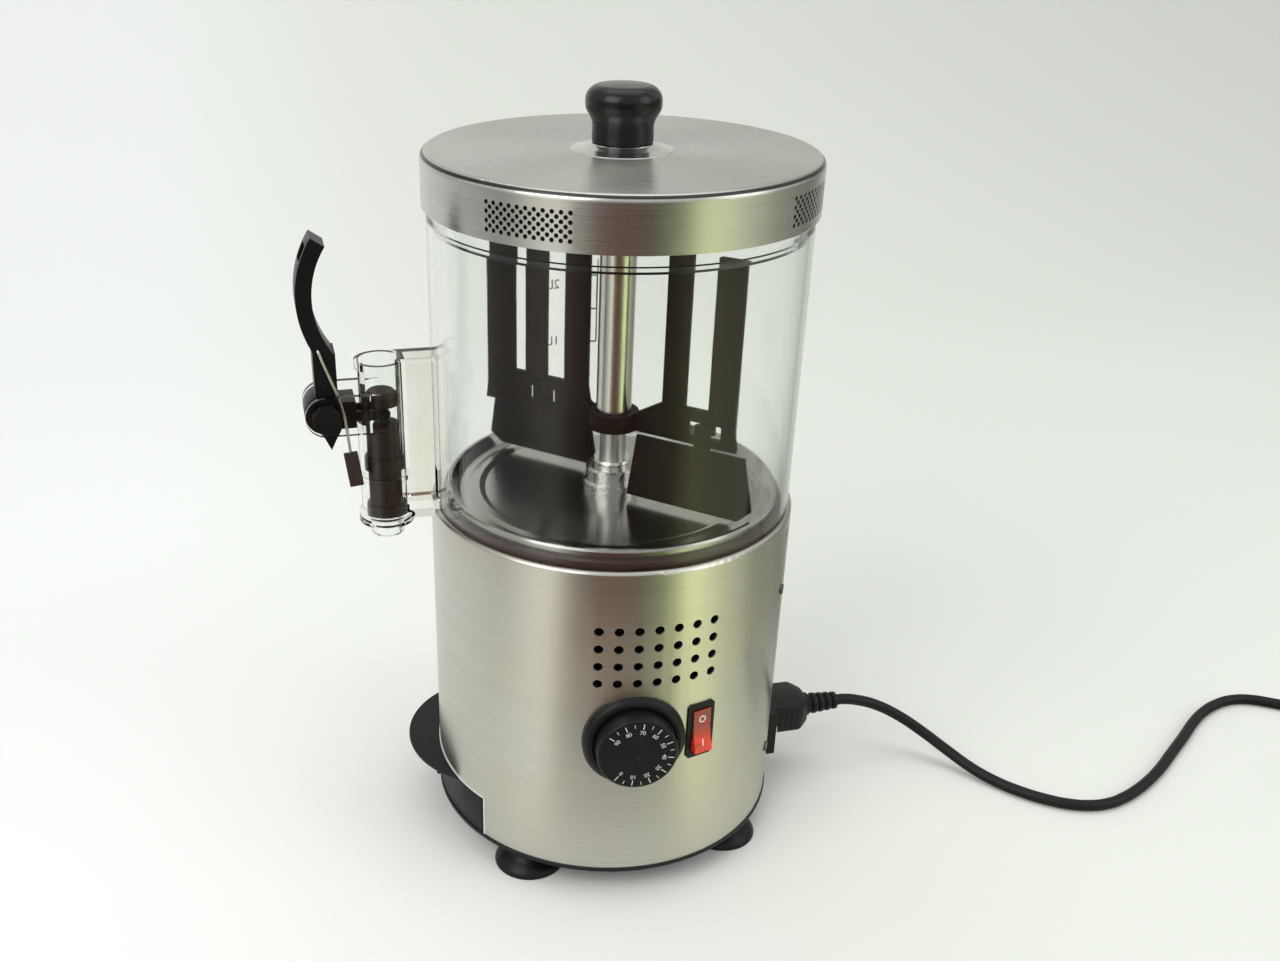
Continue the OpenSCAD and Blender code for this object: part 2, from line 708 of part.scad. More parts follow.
module output_gear() {
    color(white) translate([0, 0, gear_z]) difference() {
        union() {
            linear_extrude(gear_w) polygon(gear_points(gear_teeth, gear_module));
            translate([0, 0, case_floor + fit - gear_z + case_z]) cylinder(r = 7, h = gear_z - case_z - case_floor);
        }
        translate([0, 0, -8]) linear_extrude(30) shaft_outline(fit / 2);
        for (a = [0:60:300]) rotate([0, 0, a]) translate([gear_pitch_r * 0.62, 0, -1])
            cylinder(r = 4, h = gear_w + 2, $fn = 32);
    }
}

rotor_shaft_r = 2.5;
motor_z = case_z - motor_h;
can_t = 1.2;

module motor_can() {
    color([0.62, 0.63, 0.64]) translate([centre_distance, 0, motor_z]) difference() {
        cylinder(r = motor_d / 2, h = motor_h, $fn = 96);
        translate([0, 0, can_t]) cylinder(r = motor_d / 2 - can_t, h = motor_h - 2 * can_t, $fn = 96);
        translate([0, 0, can_t / 2]) cylinder(r = rotor_shaft_r + running, h = motor_h);
    }
}

module motor_rotor() {
    color([0.45, 0.45, 0.47]) translate([centre_distance, 0, motor_z]) {
        translate([0, 0, can_t / 2 + fit]) cylinder(r = rotor_shaft_r, h = motor_h + case_floor + gear_w + 6, $fn = 48);
        translate([0, 0, 6]) cylinder(r = motor_d / 2 - can_t - 1.5, h = motor_h - 12, $fn = 96);
    }
}

module motor_pinion() {
    color(brass) translate([centre_distance, 0, gear_z - 1]) rotate([0, 0, 180 / pinion_teeth]) difference() {
        linear_extrude(gear_w + 2) polygon(gear_points(pinion_teeth, gear_module));
        translate([0, 0, -1]) cylinder(r = rotor_shaft_r + fit / 4, h = gear_w + 4, $fn = 48);
    }
}

tube_foot = dish_z + hub_rise + 2;
tube_top = tube_foot + tube_h;
tube_cap = 6;
shaft_top = tube_top - 1;
flat_r = shaft_r - 0.8;
shaft_flat_z = pipe_top + 2;

module shaft_outline(gap) {
    intersection() {
        circle(r = shaft_r + gap, $fn = 48);
        translate([-shaft_r - 1, -shaft_r - 1]) square([shaft_r + 1 + flat_r + gap, 2 * shaft_r + 2]);
    }
}

module drive_shaft() {
    foot = case_z + 0.5;
    color(steel) {
        translate([0, 0, foot]) cylinder(r = shaft_r, h = case_floor - 0.5 + fit, $fn = 48);
        translate([0, 0, case_z + case_floor + fit]) linear_extrude(gear_z + gear_w - case_z - case_floor) shaft_outline(0);
        translate([0, 0, gear_z + gear_w]) cylinder(r = shaft_r, h = shaft_flat_z - gear_z - gear_w, $fn = 48);
        translate([0, 0, shaft_flat_z - 1]) linear_extrude(shaft_top - shaft_flat_z + 1) shaft_outline(0);
    }
}

// ---- Stirrer ----

tube_r = tube_d / 2;

module agitator_tube() {
    color(chrome) translate([0, 0, tube_foot]) difference() {
        cylinder(r = tube_r, h = tube_h, $fn = 96);
        translate([0, 0, -1]) cylinder(r = tube_r - tube_t, h = tube_h - tube_cap + 1, $fn = 96);
        translate([0, 0, tube_h - tube_cap - 1]) linear_extrude(tube_cap + 2) shaft_outline(fit / 2);
    }
}

hub_z = dish_z + hub_rise;
fin_top = hub_z + fin_h;
window_top = hub_z + 19;
// Inner and outer radius of each fin, on the wing with two fins and on the wing with three
fins_two = [[27.5, 40], [52.6, 67]];
fins_three = [[15.3, 28.9], [39.9, 52.3], [59.4, 76.3]];
// Inner and outer radius of the small window above each blade's tab
window_two = [42.5, 60];
window_three = [34.5, 50];
slot_low = 5;
slot_high = 12.5;

// One wing in its own plane: x is the radius, y the height above the hub's underside
module wing_outline(fins, window) {
    last = fins[len(fins) - 1][1];
    difference() {
        union() {
            polygon([[hub_r - 2, 0.5], [last + 1.5, 0.5], [last, 11], [last, window_top - hub_z],
                [fins[0][0], window_top - hub_z], [hub_r + 1, 11], [hub_r - 2, 9]]);
            for (f = fins) translate([f[0], 9]) square([f[1] - f[0], fin_h - 9]);
        }
        translate([window[0], slot_low]) square([window[1] - window[0], slot_high - slot_low]);
    }
}

module wing(azimuth, fins, window) {
    at_side(azimuth) translate([0, wing_t / 2, hub_z]) rotate([90, 0, 0])
        linear_extrude(wing_t) wing_outline(fins, window);
}

module agitator_frame() {
    color(cocoa) difference() {
        union() {
            translate([0, 0, hub_z]) cylinder(r = hub_r, h = hub_h, $fn = 96);
            wing(wing_azimuth, fins_two, window_two);
            wing(wing_azimuth + 180, fins_three, window_three);
        }
        translate([0, 0, hub_z - 1]) cylinder(r = tube_r - tube_t, h = hub_h + 2, $fn = 96);
        translate([0, 0, tube_foot - fit / 2]) cylinder(r = tube_r + fit / 2, h = fin_h, $fn = 96);
    }
}

blade_gap = 3;
blade_top_z = hub_z - 0.4;
blade_l = (blade_top_z - dish_z - blade_gap) / cos(blade_lean);
blade_in = pipe_r + 9;
blade_out = 76;
tab_w = 8.5;

// A blade leans away from its wing and hooks through the wing's window with a tab
module scraper_blade(window) {
    mid = (window[0] + window[1]) / 2;
    front = -wing_t / 2 - fit;
    translate([0, front, blade_top_z]) rotate([-blade_lean, 0, 0]) rotate([90, 0, 0])
        linear_extrude(blade_t) polygon([[blade_in, -blade_l], [blade_out, -blade_l],
            [blade_out + 6, 6 - blade_l], [blade_out - 2, 0], [blade_in, 0]]);
    translate([mid - tab_w / 2, front - 2.2, blade_top_z - 4]) cube([tab_w, 2.2, slot_high + 4]);
    translate([mid - tab_w / 2, front - 0.5, hub_z + slot_low + 3]) cube([tab_w, wing_t + 2.5, 2]);
    translate([mid - tab_w / 2, wing_t / 2 + fit, hub_z + slot_low + 1]) cube([tab_w, 1.9, slot_high - slot_low + 2]);
}

module scraper_blades() {
    color(cocoa) {
        at_side(wing_azimuth) scraper_blade(window_two);
        at_side(wing_azimuth + 180) scraper_blade(window_three);
    }
}

// ---- Thermostat ----

bezel_r = bezel_d / 2;
dial_r = dial_d / 2;
dial_face = body_r + dial_out;
bezel_floor_x = body_r + 1.2;
nose_end = bezel_floor_x;
spindle_r = 3;
body_box = 34;
body_box_t = 16;
body_back = shell_in - 21;
capillary_r = 0.9;
capillary_x = 64;
capillary_in = 50;
bulb_x0 = 20;
bulb_l = 30;
bulb_r = 1.9;
bulb_z = under_z - bulb_r - fit;

module at_dial() {
    at_side(dial_azimuth) translate([0, 0, shell_z + control_z]) children();
}

module thermostat_bezel() {
    color(black) at_dial() difference() {
        rotate([0, 90, 0]) rotate_extrude() polygon([[nose_r + fit, shell_in - 5],
            [bezel_r, shell_in - 5], [bezel_r, body_r + 0.5], [bezel_r - 1.4, body_r + 2.6],
            [bezel_r - 3, body_r + 3.4], [dial_r + 1.2, body_r + 3.4], [dial_r + 0.6, body_r + 2.6],
            [dial_r + 0.6, bezel_floor_x], [nose_r + fit, bezel_floor_x]]);
        translate([0, 0, -60]) cylinder(r = body_r + fit / 2, h = 120, $fn = 180);
    }
}

module thermostat_body() {
    color([0.72, 0.70, 0.66]) at_dial() difference() {
        union() {
            translate([body_back, -body_box / 2, -body_box / 2]) cube([body_box_t, body_box, body_box]);
            translate([body_back + body_box_t - 1, 0, 0]) rotate([0, 90, 0])
                cylinder(r = nose_r, h = nose_end - body_back - body_box_t + 1, $fn = 48);
            translate([body_back + body_box_t - 1, 0, 0]) rotate([0, 90, 0])
                cylinder(r = 8, h = 3, $fn = 48);
            for (s = [-1, 1]) translate([body_back - 5, s * 10 - 3, -12]) cube([6, 6, 0.8]);
        }
        translate([body_back + 4, 0, 0]) rotate([0, 90, 0]) cylinder(r = spindle_r + running, h = 40, $fn = 48);
        translate([body_back - 1, 0, 8]) rotate([0, 90, 0]) cylinder(r = capillary_r + fit, h = 4, $fn = 24);
    }
}

module thermostat_bulb() {
    start = [body_back + 1, 0, shell_z + control_z + 8];
    color(copper) at_side(dial_azimuth) {
        wire_run([start, [capillary_x, 0, start.z], [capillary_x, 0, ring_z - 7],
            [capillary_in, 0, ring_z - 7], [capillary_in, 0, bulb_z],
            [bulb_x0 + bulb_l - 5, 0, bulb_z]], capillary_r);
        translate([bulb_x0, 0, bulb_z]) rotate([0, 90, 0]) cylinder(r = bulb_r, h = bulb_l - 3, $fn = 32);
    }
}

knob_bore_end = dial_face - 3.5;

module thermostat_spindle() {
    color(steel) at_dial() translate([body_back + 5, 0, 0]) rotate([0, 90, 0])
        cylinder(r = spindle_r, h = knob_bore_end - fit - body_back - 5, $fn = 48);
}

module thermostat_knob() {
    color(black) at_dial() rotate([0, 90, 0]) rotate_extrude() polygon([
        [spindle_r + fit / 2, bezel_floor_x + loose], [dial_r, bezel_floor_x + loose],
        [dial_r, dial_face - 1.6], [dial_r - 0.5, dial_face - 0.5], [dial_r - 1.6, dial_face],
        [0, dial_face], [0, knob_bore_end], [spindle_r + fit / 2, knob_bore_end]]);
}

cutout_x = 38;
cutout_r = 8;

module thermal_cutout() {
    color(brass) translate([-cutout_x, 0, under_z - 7]) difference() {
        union() {
            cylinder(r = cutout_r, h = 7 - fit / 2, $fn = 48);
            for (s = [-1, 1]) translate([-0.4, 4 * s - 1.4, -6]) cube([0.8, 2.8, 7]);
        }
        translate([0, 0, -0.1]) cylinder(r = 2, h = 2, $fn = 24);
    }
}

// ---- Switch ----

switch_body_w = 12.6;
switch_body_h = 27.4;
switch_wall = 1;
switch_back = shell_in - 17;
rocker_x = body_r - 1;
rocker_half_w = switch_body_w / 2 - switch_wall - loose;
rocker_half_h = 11.9;
rocker_pin_r = 1.1;

module at_switch() {
    at_side(switch_azimuth) translate([0, 0, shell_z + control_z]) children();
}

module switch_frame() {
    cavity_w = switch_body_w - 2 * switch_wall;
    cavity_h = switch_body_h - 2 * switch_wall;
    c = 1.6;
    color(black) at_switch() difference() {
        union() {
            translate([switch_back, -switch_body_w / 2, -switch_body_h / 2])
                cube([body_r + 1 - switch_back, switch_body_w, switch_body_h]);
            difference() {
                translate([shell_in - 1, 0, 0]) rotate([90, 0, 90]) linear_extrude(body_r + 1.8 - shell_in)
                    polygon([for (s = [[1, 1, 0], [1, 1, 1], [-1, 1, 1], [-1, 1, 0], [-1, -1, 0],
                        [-1, -1, 1], [1, -1, 1], [1, -1, 0]])
                        [s.x * (switch_w / 2 - (s.z == 1 ? c : 0)), s.y * (switch_h / 2 - (s.z == 0 ? c : 0))]]);
                translate([0, 0, -40]) cylinder(r = body_r + fit / 2, h = 80, $fn = 180);
            }
        }
        translate([body_r - 8, -cavity_w / 2, -cavity_h / 2]) cube([12, cavity_w, cavity_h]);
        translate([rocker_x, 0, 0]) rotate([90, 0, 0]) translate([0, 0, -switch_body_w])
            cylinder(r = rocker_pin_r + running, h = 2 * switch_body_w, $fn = 24);
    }
}

module switch_rocker() {
    h = rocker_half_h;
    color([0.75, 0.06, 0.05]) at_switch() translate([rocker_x, 0, 0]) rotate([0, -rocker_tilt, 0]) {
        translate([0, rocker_half_w, 0]) rotate([90, 0, 0]) linear_extrude(2 * rocker_half_w)
            polygon([[-4, -4], [0.6, -h], [4.4, -h], [3, 0], [4.4, h], [0.6, h], [-4, 4]]);
        translate([0, switch_body_w / 2 - 0.1, 0]) rotate([90, 0, 0])
            cylinder(r = rocker_pin_r, h = switch_body_w - 0.2, $fn = 24);
    }
}

// ---- Mains inlet and wiring ----

socket_back = shell_in - 23;
flange_out = body_r + 3;
cavity_w = 26;
cavity_h = 18;
cavity_x = socket_back + 6;
pin_w = 4;
pin_t = 2;
pin_gap = 7;

// The three inlet pins: two side by side and the earth pin above them
module at_inlet_pins() {
    for (p = [[-pin_gap, -2], [0, 2], [pin_gap, -2]]) translate([0, p.x, shell_z + inlet_z + p.y]) children();
}

module inlet_socket() {
    z = shell_z + inlet_z;
    color(black) at_side(90) difference() {
        union() {
            translate([socket_back, -socket_w / 2, z - socket_h / 2]) cube([shell_in + 2 - socket_back, socket_w, socket_h]);
            difference() {
                translate([shell_in - 6, -inlet_w / 2, z - inlet_h / 2]) cube([flange_out - shell_in + 6, inlet_w, inlet_h]);
                translate([0, 0, z - inlet_h]) cylinder(r = body_r + fit / 2, h = 2 * inlet_h, $fn = 180);
            }
        }
        translate([cavity_x, -cavity_w / 2, z - cavity_h / 2]) cube([40, cavity_w, cavity_h]);
        at_inlet_pins() translate([socket_back - 1, -pin_t / 2 - fit / 2, -pin_w / 2 - fit / 2])
            cube([10, pin_t + fit, pin_w + fit]);
        for (s = [-1, 1]) translate([shell_in - 20, s * inlet_screw_x, z]) rotate([0, 90, 0])
            cylinder(r = panel_screw_r + fit, h = 40, $fn = 24);
    }
}

module inlet_pins() {
    color(brass) at_inlet_pins() translate([socket_back - 6, -pin_t / 2, -pin_w / 2]) cube([26, pin_t, pin_w]);
}

module inlet_screws() {
    color(chrome) for (s = [-1, 1]) translate([flange_out, s * inlet_screw_x, shell_z + inlet_z])
        rotate([0, 90, 0]) screw(2.8, 1.6, panel_screw_r - fit, 12);
}

block_at = [36, 34];
block_size = [34, 16, 14];

module terminal_block() {
    color(white) translate([block_at.x, block_at.y, shell_z]) difference() {
        cube(block_size);
        for (i = [0:2]) translate([6 + 11 * i, block_size.y / 2, 4]) cylinder(r = 2.4, h = 12, $fn = 32);
        for (i = [0:2]) translate([6 + 11 * i, -1, 5]) rotate([-90, 0, 0]) cylinder(r = 2.9, h = 9, $fn = 32);
    }
}

wire_r = 1.2;
wire_ways = [[52, 20], [-46, 30]];

// Each wire's route, by hand: inlet to block, block to switch, block to thermostat, block to
// element, block to motor, block up to the thermal cut-out
wire_routes = [
    [[63.9, 7, 37], [60, 8, 37], [56, 12, 37], [54.3, 26, 26], [54.3, 31, 22], [54.3, 38, 22]],
    [[43.3, 38, 22], [43.3, 30, 22], [43, 20, 24], [40, -60, 30], [22, -70, 80], [19.4, -70.4, 98.6],
        [20.15, -73.15, 98.6]],
    [[40.7, 38, 22], [40.7, 30, 22], [36, 10, 21], [10, -56, 26], [4, -61, 80], [3.14, -62.7, 87],
        [2.6, -67.6, 87]],
    [[65.3, 38, 22], [65.3, 30, 22], [66, 22, 40], [52, 20, 120], [52, 20, 160], [56.4, 20.5, 162.5],
        [56.4, 20.5, 165.9]],
    [[51.7, 38, 22], [51.7, 30, 22], [40, 12, 30], [34, 4, 40], [30, 3, 66], [30, 3, 71.9]],
    [[62.7, 38, 22], [62.7, 30, 22], [58, 26, 33], [46, 40, 36], [20, 54, 36], [-46, 30, 40],
        [-46, 30, 172], [-38, 7, 172], [-38, 4, 176], [-38, 4, 181.4]]];

module wiring() {
    color([0.55, 0.12, 0.10]) for (route = wire_routes) wire_run(route, wire_r);
}

// ---- Tank and tap ----

tap_z = tank_z - 2;
tap_top = tap_z + tap_h;
duct_top = tap_top + 1.5;
duct_wall = 2.5;
inlet_low = rim_z - 3;
inlet_high = inlet_low + 15.5;
lug_y = lever_w / 2 + 3.5;
lug_t = 3;
lug_r = 9.8;
pivot = [tap_x + arm_l, 0, tap_z + pivot_h];
pin_r = pin_d / 2;

module tank() {
    color(clear) difference() {
        translate([0, 0, tank_z]) cylinder(r = tank_r, h = tank_top - tank_z, $fn = 180);
        translate([0, 0, tank_z - 1]) cylinder(r = tank_in, h = tank_top - tank_z + 2, $fn = 180);
        at_side(-90) translate([tank_in - 5, -duct_w / 2 + duct_wall, inlet_low])
            cube([20, duct_w - 2 * duct_wall, inlet_high - inlet_low]);
    }
}

slot_z0 = pivot.z - 7;
slot_z1 = tap_top - 4;
fork_r = 2.5;
fork_in = 4;
fork_out = 6;

module tap_body() {
    r = tap_d / 2;
    bore = tap_bore / 2;
    color(clear) at_side(-90) difference() {
        union() {
            translate([tap_x, 0, tap_z]) cylinder(r = r, h = tap_h, $fn = 96);
            translate([tap_x, 0, tap_z]) cylinder(r = r + 1.6, h = 5, $fn = 96);
            translate([tap_x, 0, tap_z + 23.5]) cylinder(r = r + 0.6, h = 2.4, $fn = 96);
            translate([tap_x, 0, tap_z - outlet_h]) cylinder(d = outlet_d, h = outlet_h + 1);
            translate([tank_r - 5, -duct_w / 2, tank_z]) cube([tap_x - tank_r + 5, duct_w, duct_top - tank_z]);
            for (s = [-1, 1]) translate([0, s * lug_y + lug_t / 2, 0]) rotate([90, 0, 0]) {
                translate([pivot.x, pivot.z, 0]) cylinder(r = lug_r, h = lug_t);
                translate([tap_x, pivot.z - lug_r, 0]) cube([arm_l, 2 * lug_r, lug_t]);
            }
        }
        // The bonded face against the tank, and clearance over the steel body
        translate([0, 0, tank_z - 1]) cylinder(r = tank_r + fit / 2, h = 200, $fn = 180);
        translate([0, 0, tank_z - 1]) cylinder(r = body_r + loose, h = body_top - tank_z + 1 + loose, $fn = 180);
        // The duct's hollow opens into the tube low down
        translate([tank_r - 1, -duct_w / 2 + duct_wall, inlet_low])
            cube([tap_x - r - tank_r + 1.6, duct_w - 2 * duct_wall, duct_top - duct_wall - inlet_low]);
        translate([tank_r - 1, -duct_w / 2 + duct_wall, inlet_low])
            cube([tap_x - tank_r + 1, duct_w - 2 * duct_wall, inlet_high - inlet_low]);
        translate([tap_x, 0, tap_z + 2]) cylinder(r = bore, h = tap_h, $fn = 96);
        translate([tap_x, 0, tap_z - outlet_h - 1]) cylinder(d = outlet_bore, h = outlet_h + 4);
        translate([tap_x, -fork_out - 0.8, slot_z0]) cube([r + 4, 2 * fork_out + 1.6, slot_z1 - slot_z0]);
        translate([pivot.x, 30, pivot.z]) rotate([90, 0, 0]) cylinder(r = pin_r + fit, h = 60, $fn = 48);
    }
}

plunger_r = plunger_d / 2;
land_r = tap_bore / 2 - running * 2;
neck_r = 3.4;
plunger_foot = tap_z + 2 + fit;
neck_low = pivot.z - 9;
neck_high = pivot.z + 0.9;
plunger_top = tap_z + 69;

module plunger() {
    color(cocoa) at_side(-90) translate([tap_x, 0, 0]) rotate_extrude() polygon([[0, plunger_foot],
        [land_r - 1, plunger_foot], [land_r, plunger_foot + 1.5], [land_r, inlet_low - 1],
        [plunger_r, inlet_low], [plunger_r, inlet_high + 2], [land_r, inlet_high + 3],
        [land_r, inlet_high + 9], [plunger_r, inlet_high + 10], [plunger_r, neck_low],
        [neck_r, neck_low + 0.6], [neck_r, neck_high], [plunger_r, neck_high],
        [plunger_r, plunger_top - 2], [plunger_r - 2, plunger_top], [0, plunger_top]]);
}

lever_half = lever_w / 2;
arm_start = tap_x + tap_d / 2 + 0.7;
arm_low = 7.5;
stem_x0 = pivot.x - 6.5;
stem_x1 = pivot.x + 4;
stem_top = pivot.z + 28;
handle_r = 48.5;
handle_t = 7.5;
handle_half = 33.8;
handle_span = lever_h - (stem_top - pivot.z);
handle_z = stem_top + handle_span / 2;
handle_x = pivot.x - 42.4;

module lever_side() {
    difference() {
        union() {
            translate([pivot.x, pivot.z]) circle(r = lug_r);
            translate([stem_x0, pivot.z]) square([stem_x1 - stem_x0, stem_top - pivot.z + 2]);
            translate([arm_start, pivot.z - arm_low]) square([pivot.x - arm_start, arm_low + 6]);
            polygon([[pivot.x - 8, pivot.z - 6], [pivot.x + 4, pivot.z - 6], [pivot.x - 1.8, pivot.z - 18.6]]);
            intersection() {
                translate([handle_x, handle_z]) difference() {
                    circle(r = handle_r + handle_t / 2, $fn = 180);
                    circle(r = handle_r - handle_t / 2, $fn = 180);
                }
                polygon([[handle_x, handle_z], [handle_x + 90 * cos(handle_half), handle_z - 90 * sin(handle_half)],
                    [handle_x + 120, handle_z],
                    [handle_x + 90 * cos(handle_half), handle_z + 90 * sin(handle_half)]]);
            }
        }
        translate([pivot.x, pivot.z]) circle(r = pin_r + running, $fn = 48);
    }
}

hook_hole = [pivot.x + 1.5, pivot.z + 32];

module tap_lever() {
    color(black) at_side(-90) difference() {
        union() {
            translate([0, lever_half, 0]) rotate([90, 0, 0]) linear_extrude(lever_w) lever_side();
            translate([pivot.x, lug_y - lug_t / 2 - loose, pivot.z]) rotate([90, 0, 0]) difference() {
                cylinder(r = 5, h = 2 * lug_y - lug_t - 2 * loose, $fn = 48);
                translate([0, 0, -1]) cylinder(r = pin_r + running, h = 2 * lug_y, $fn = 48);
            }
            for (s = [-1, 1]) translate([0, s * (fork_in + fork_out) / 2 + (fork_out - fork_in) / 2, 0])
                rotate([90, 0, 0]) linear_extrude(fork_out - fork_in) {
                    translate([tap_x - 1, pivot.z - 2.5]) circle(r = fork_r, $fn = 32);
                    translate([tap_x - 1, pivot.z - 2.5 - fork_r]) square([arm_start - tap_x + 2, 2 * fork_r]);
                }
        }
        translate([hook_hole.x, lever_half + 1, hook_hole.y]) rotate([90, 0, 0])
            cylinder(r = wire_d / 2 + fit, h = 8, $fn = 24);
        rotate([0, 0, 0]) translate([handle_x, -5.5, handle_z]) rotate([0, -24, 0])
            translate([handle_r - 10, 0, -4]) cube([20, 11, 8]);
    }
}

module lever_pin() {
    side = lug_y + lug_t / 2;
    color(black) at_side(-90) translate([pivot.x, 0, pivot.z]) rotate([90, 0, 0]) {
        translate([0, 0, -side - 1]) cylinder(r = pin_r, h = 2 * side + 2, $fn = 48);
        translate([0, 0, -side - fit - 5]) rotate([0, 0, 22.5]) cylinder(r = 6.9, h = 5, $fn = 8);
        translate([0, 0, side + fit]) cylinder(r = 4.6, h = 1.8, $fn = 32);
    }
}

wire_r_spring = wire_d / 2;
wire_y = lever_half + wire_r_spring + 0.25;
sleeve_lean = 7;
sleeve_at = [pivot.x - 11.2, pivot.z - 29];

wire_low = [pivot.x - 9.6, wire_y, pivot.z - 9];
wire_end = [sleeve_at.x + 0.5, wire_y, sleeve_at.y + 4];

module return_spring() {
    y = wire_y;
    color(chrome) at_side(-90) wire_run([[hook_hole.x, lever_half - 5, hook_hole.y], [hook_hole.x, y, hook_hole.y],
        [pivot.x - 6.6, y, pivot.z + 8.4], [pivot.x - 9, y, pivot.z - 2], wire_low, wire_end], wire_r_spring);
}

module spring_sleeve() {
    y = wire_y;
    color(cocoa) at_side(-90) difference() {
        translate([sleeve_at.x, y, sleeve_at.y]) rotate([0, sleeve_lean, 0]) translate([-3.8, -3, -8]) cube([6.8, 6, 16]);
        wire_run([for (k = [0.42, 0, -0.1]) wire_end + k * (wire_low - wire_end)], wire_r_spring + fit);
    }
}

// ---- Lid ----

perf_z = skirt_z + 4.8;
perf_rise = 1.95;
perf_first = -40.4;

module perforations() {
    step = perf_pitch / body_r * 180 / PI;
    for (g = [0:perf_groups - 1]) for (row = [0:perf_rows - 1]) {
        short = row % 2;
        for (col = [0:perf_columns - 1 - short])
            at_side(perf_first + g * 360 / perf_groups + step * (col + short / 2 - (perf_columns - 1) / 2))
                translate([body_r - lid_t - 2, 0, perf_z + perf_rise * row]) rotate([0, 90, 0])
                    cylinder(d = perf_d, h = lid_t + 4, $fn = 16);
    }
}

lid_screw_r = 2;

module lid_shell() {
    color(steel) difference() {
        rotate_extrude($fn = 180) difference() {
            union() {
                translate([0, skirt_z]) square([body_r, lid_h - lid_edge_r]);
                translate([0, skirt_z]) square([body_r - lid_edge_r, lid_h]);
                translate([body_r - lid_edge_r, lid_top - lid_edge_r]) circle(r = lid_edge_r, $fn = 48);
            }
            translate([0, skirt_z + lid_t]) square([body_r - lid_t, lid_h - lid_edge_r - lid_t]);
            translate([0, skirt_z + lid_t]) square([body_r - lid_edge_r, lid_h - 2 * lid_t]);
            translate([body_r - lid_edge_r, lid_top - lid_edge_r]) circle(r = lid_edge_r - lid_t, $fn = 48);
            translate([0, skirt_z - 1]) square([tank_in - 8, 3]);
        }
        translate([0, 0, lid_top - 5]) cylinder(r = lid_screw_r + fit, h = 10, $fn = 32);
        perforations();
    }
}

ring_in = tank_in - 6;
ring_drop = 3.5;

module lid_ring() {
    color(steel) rotate_extrude($fn = 180) polygon([[ring_in, tank_top + fit - ring_drop],
        [tank_in - loose, tank_top + fit - ring_drop], [tank_in - loose, tank_top + fit],
        [tank_r, tank_top + fit], [tank_r, skirt_z], [ring_in, skirt_z]]);
}

module lid_ferrule() {
    color(chrome) translate([0, 0, lid_top]) rotate_extrude() polygon([[lid_screw_r + fit, 0], [24, 0],
        [23.8, 0.25], [19, 1.3], [15.2, ferrule_h - 0.3], [14.8, ferrule_h], [lid_screw_r + fit, ferrule_h]]);
}

crown_z = knob_h - 8;
neck_knob_r = 14.3;

module lid_knob() {
    color(black) translate([0, 0, ferrule_top]) difference() {
        rotate_extrude($fn = 96) union() {
            square([neck_knob_r, crown_z]);
            difference() {
                translate([0, crown_z - 10]) square([knob_r - 1.2, 10]);
                translate([neck_knob_r + 4.6, crown_z - 9.2]) circle(r = 4.6, $fn = 48);
                translate([neck_knob_r, crown_z - 12]) square([10, 2.8]);
            }
            translate([0, crown_z - 4.7]) square([knob_r, 5.2]);
            intersection() {
                translate([0, crown_z]) square([knob_r, knob_h - crown_z]);
                union() {
                    translate([knob_r - 7, crown_z + 0.5]) circle(r = 7, $fn = 64);
                    square([knob_r - 7, knob_h - 0.5]);
                    translate([0, knob_h - 60]) circle(r = 60, $fn = 180);
                }
            }
        }
        translate([0, 0, -1]) cylinder(r = lid_screw_r + fit / 2, h = 15, $fn = 32);
    }
}

module lid_screw() {
    color(chrome) translate([0, 0, lid_top - lid_t]) rotate([180, 0, 0])
        screw(4.6, 2.4, lid_screw_r, lid_t + ferrule_h + 12);
}

// ---- Mains connector, cord and plug ----

connector_w = 24.6;
connector_h = 16.6;
grip_w = 27;
grip_h = 19;
connector_face = cavity_x + 1;
grip_x = flange_out + loose;
grip_end = grip_x + 28;
relief_end = 144;
relief_ribs = 4;
cord_r = cord_d / 2;
relief_r = cord_r + 2.4;
nose_w = 23;

module mains_connector() {
    z = shell_z + inlet_z;
    color(black) difference() {
        union() {
            translate([connector_face, -connector_w / 2, z - connector_h / 2])
                cube([grip_x + 2 - connector_face, connector_w, connector_h]);
            translate([grip_x, 0, z]) rotate([90, 0, 90]) linear_extrude(grip_end - grip_x - 8)
                polygon([[-grip_w / 2, 3 - grip_h / 2], [3 - grip_w / 2, -grip_h / 2], [grip_w / 2 - 3, -grip_h / 2],
                    [grip_w / 2, 3 - grip_h / 2], [grip_w / 2, grip_h / 2 - 3], [grip_w / 2 - 3, grip_h / 2],
                    [3 - grip_w / 2, grip_h / 2], [-grip_w / 2, grip_h / 2 - 3]]);
            translate([grip_end - 8, -nose_w / 2 + 3, z - grip_h / 2 + 1.5]) cube([5, nose_w - 6, grip_h - 3]);
            translate([grip_end - 3, 0, z]) rotate([0, 90, 0]) cylinder(r = relief_r + 1.5, h = 3, $fn = 48);
            translate([grip_end, 0, z]) rotate([0, 90, 0]) cylinder(r = relief_r - 1.2, h = relief_end - grip_end, $fn = 48);
            pitch = (relief_end - grip_end) / relief_ribs;
            for (i = [0:relief_ribs - 1]) translate([grip_end + pitch * (i + 0.4), 0, z]) rotate([0, 90, 0])
                cylinder(r = relief_r, h = pitch * 0.6, $fn = 48);
        }
        at_inlet_pins() translate([connector_face - 1, -pin_t / 2 - loose, -pin_w / 2 - loose])
            cube([18, pin_t + 2 * loose, pin_w + 2 * loose]);
    }
}

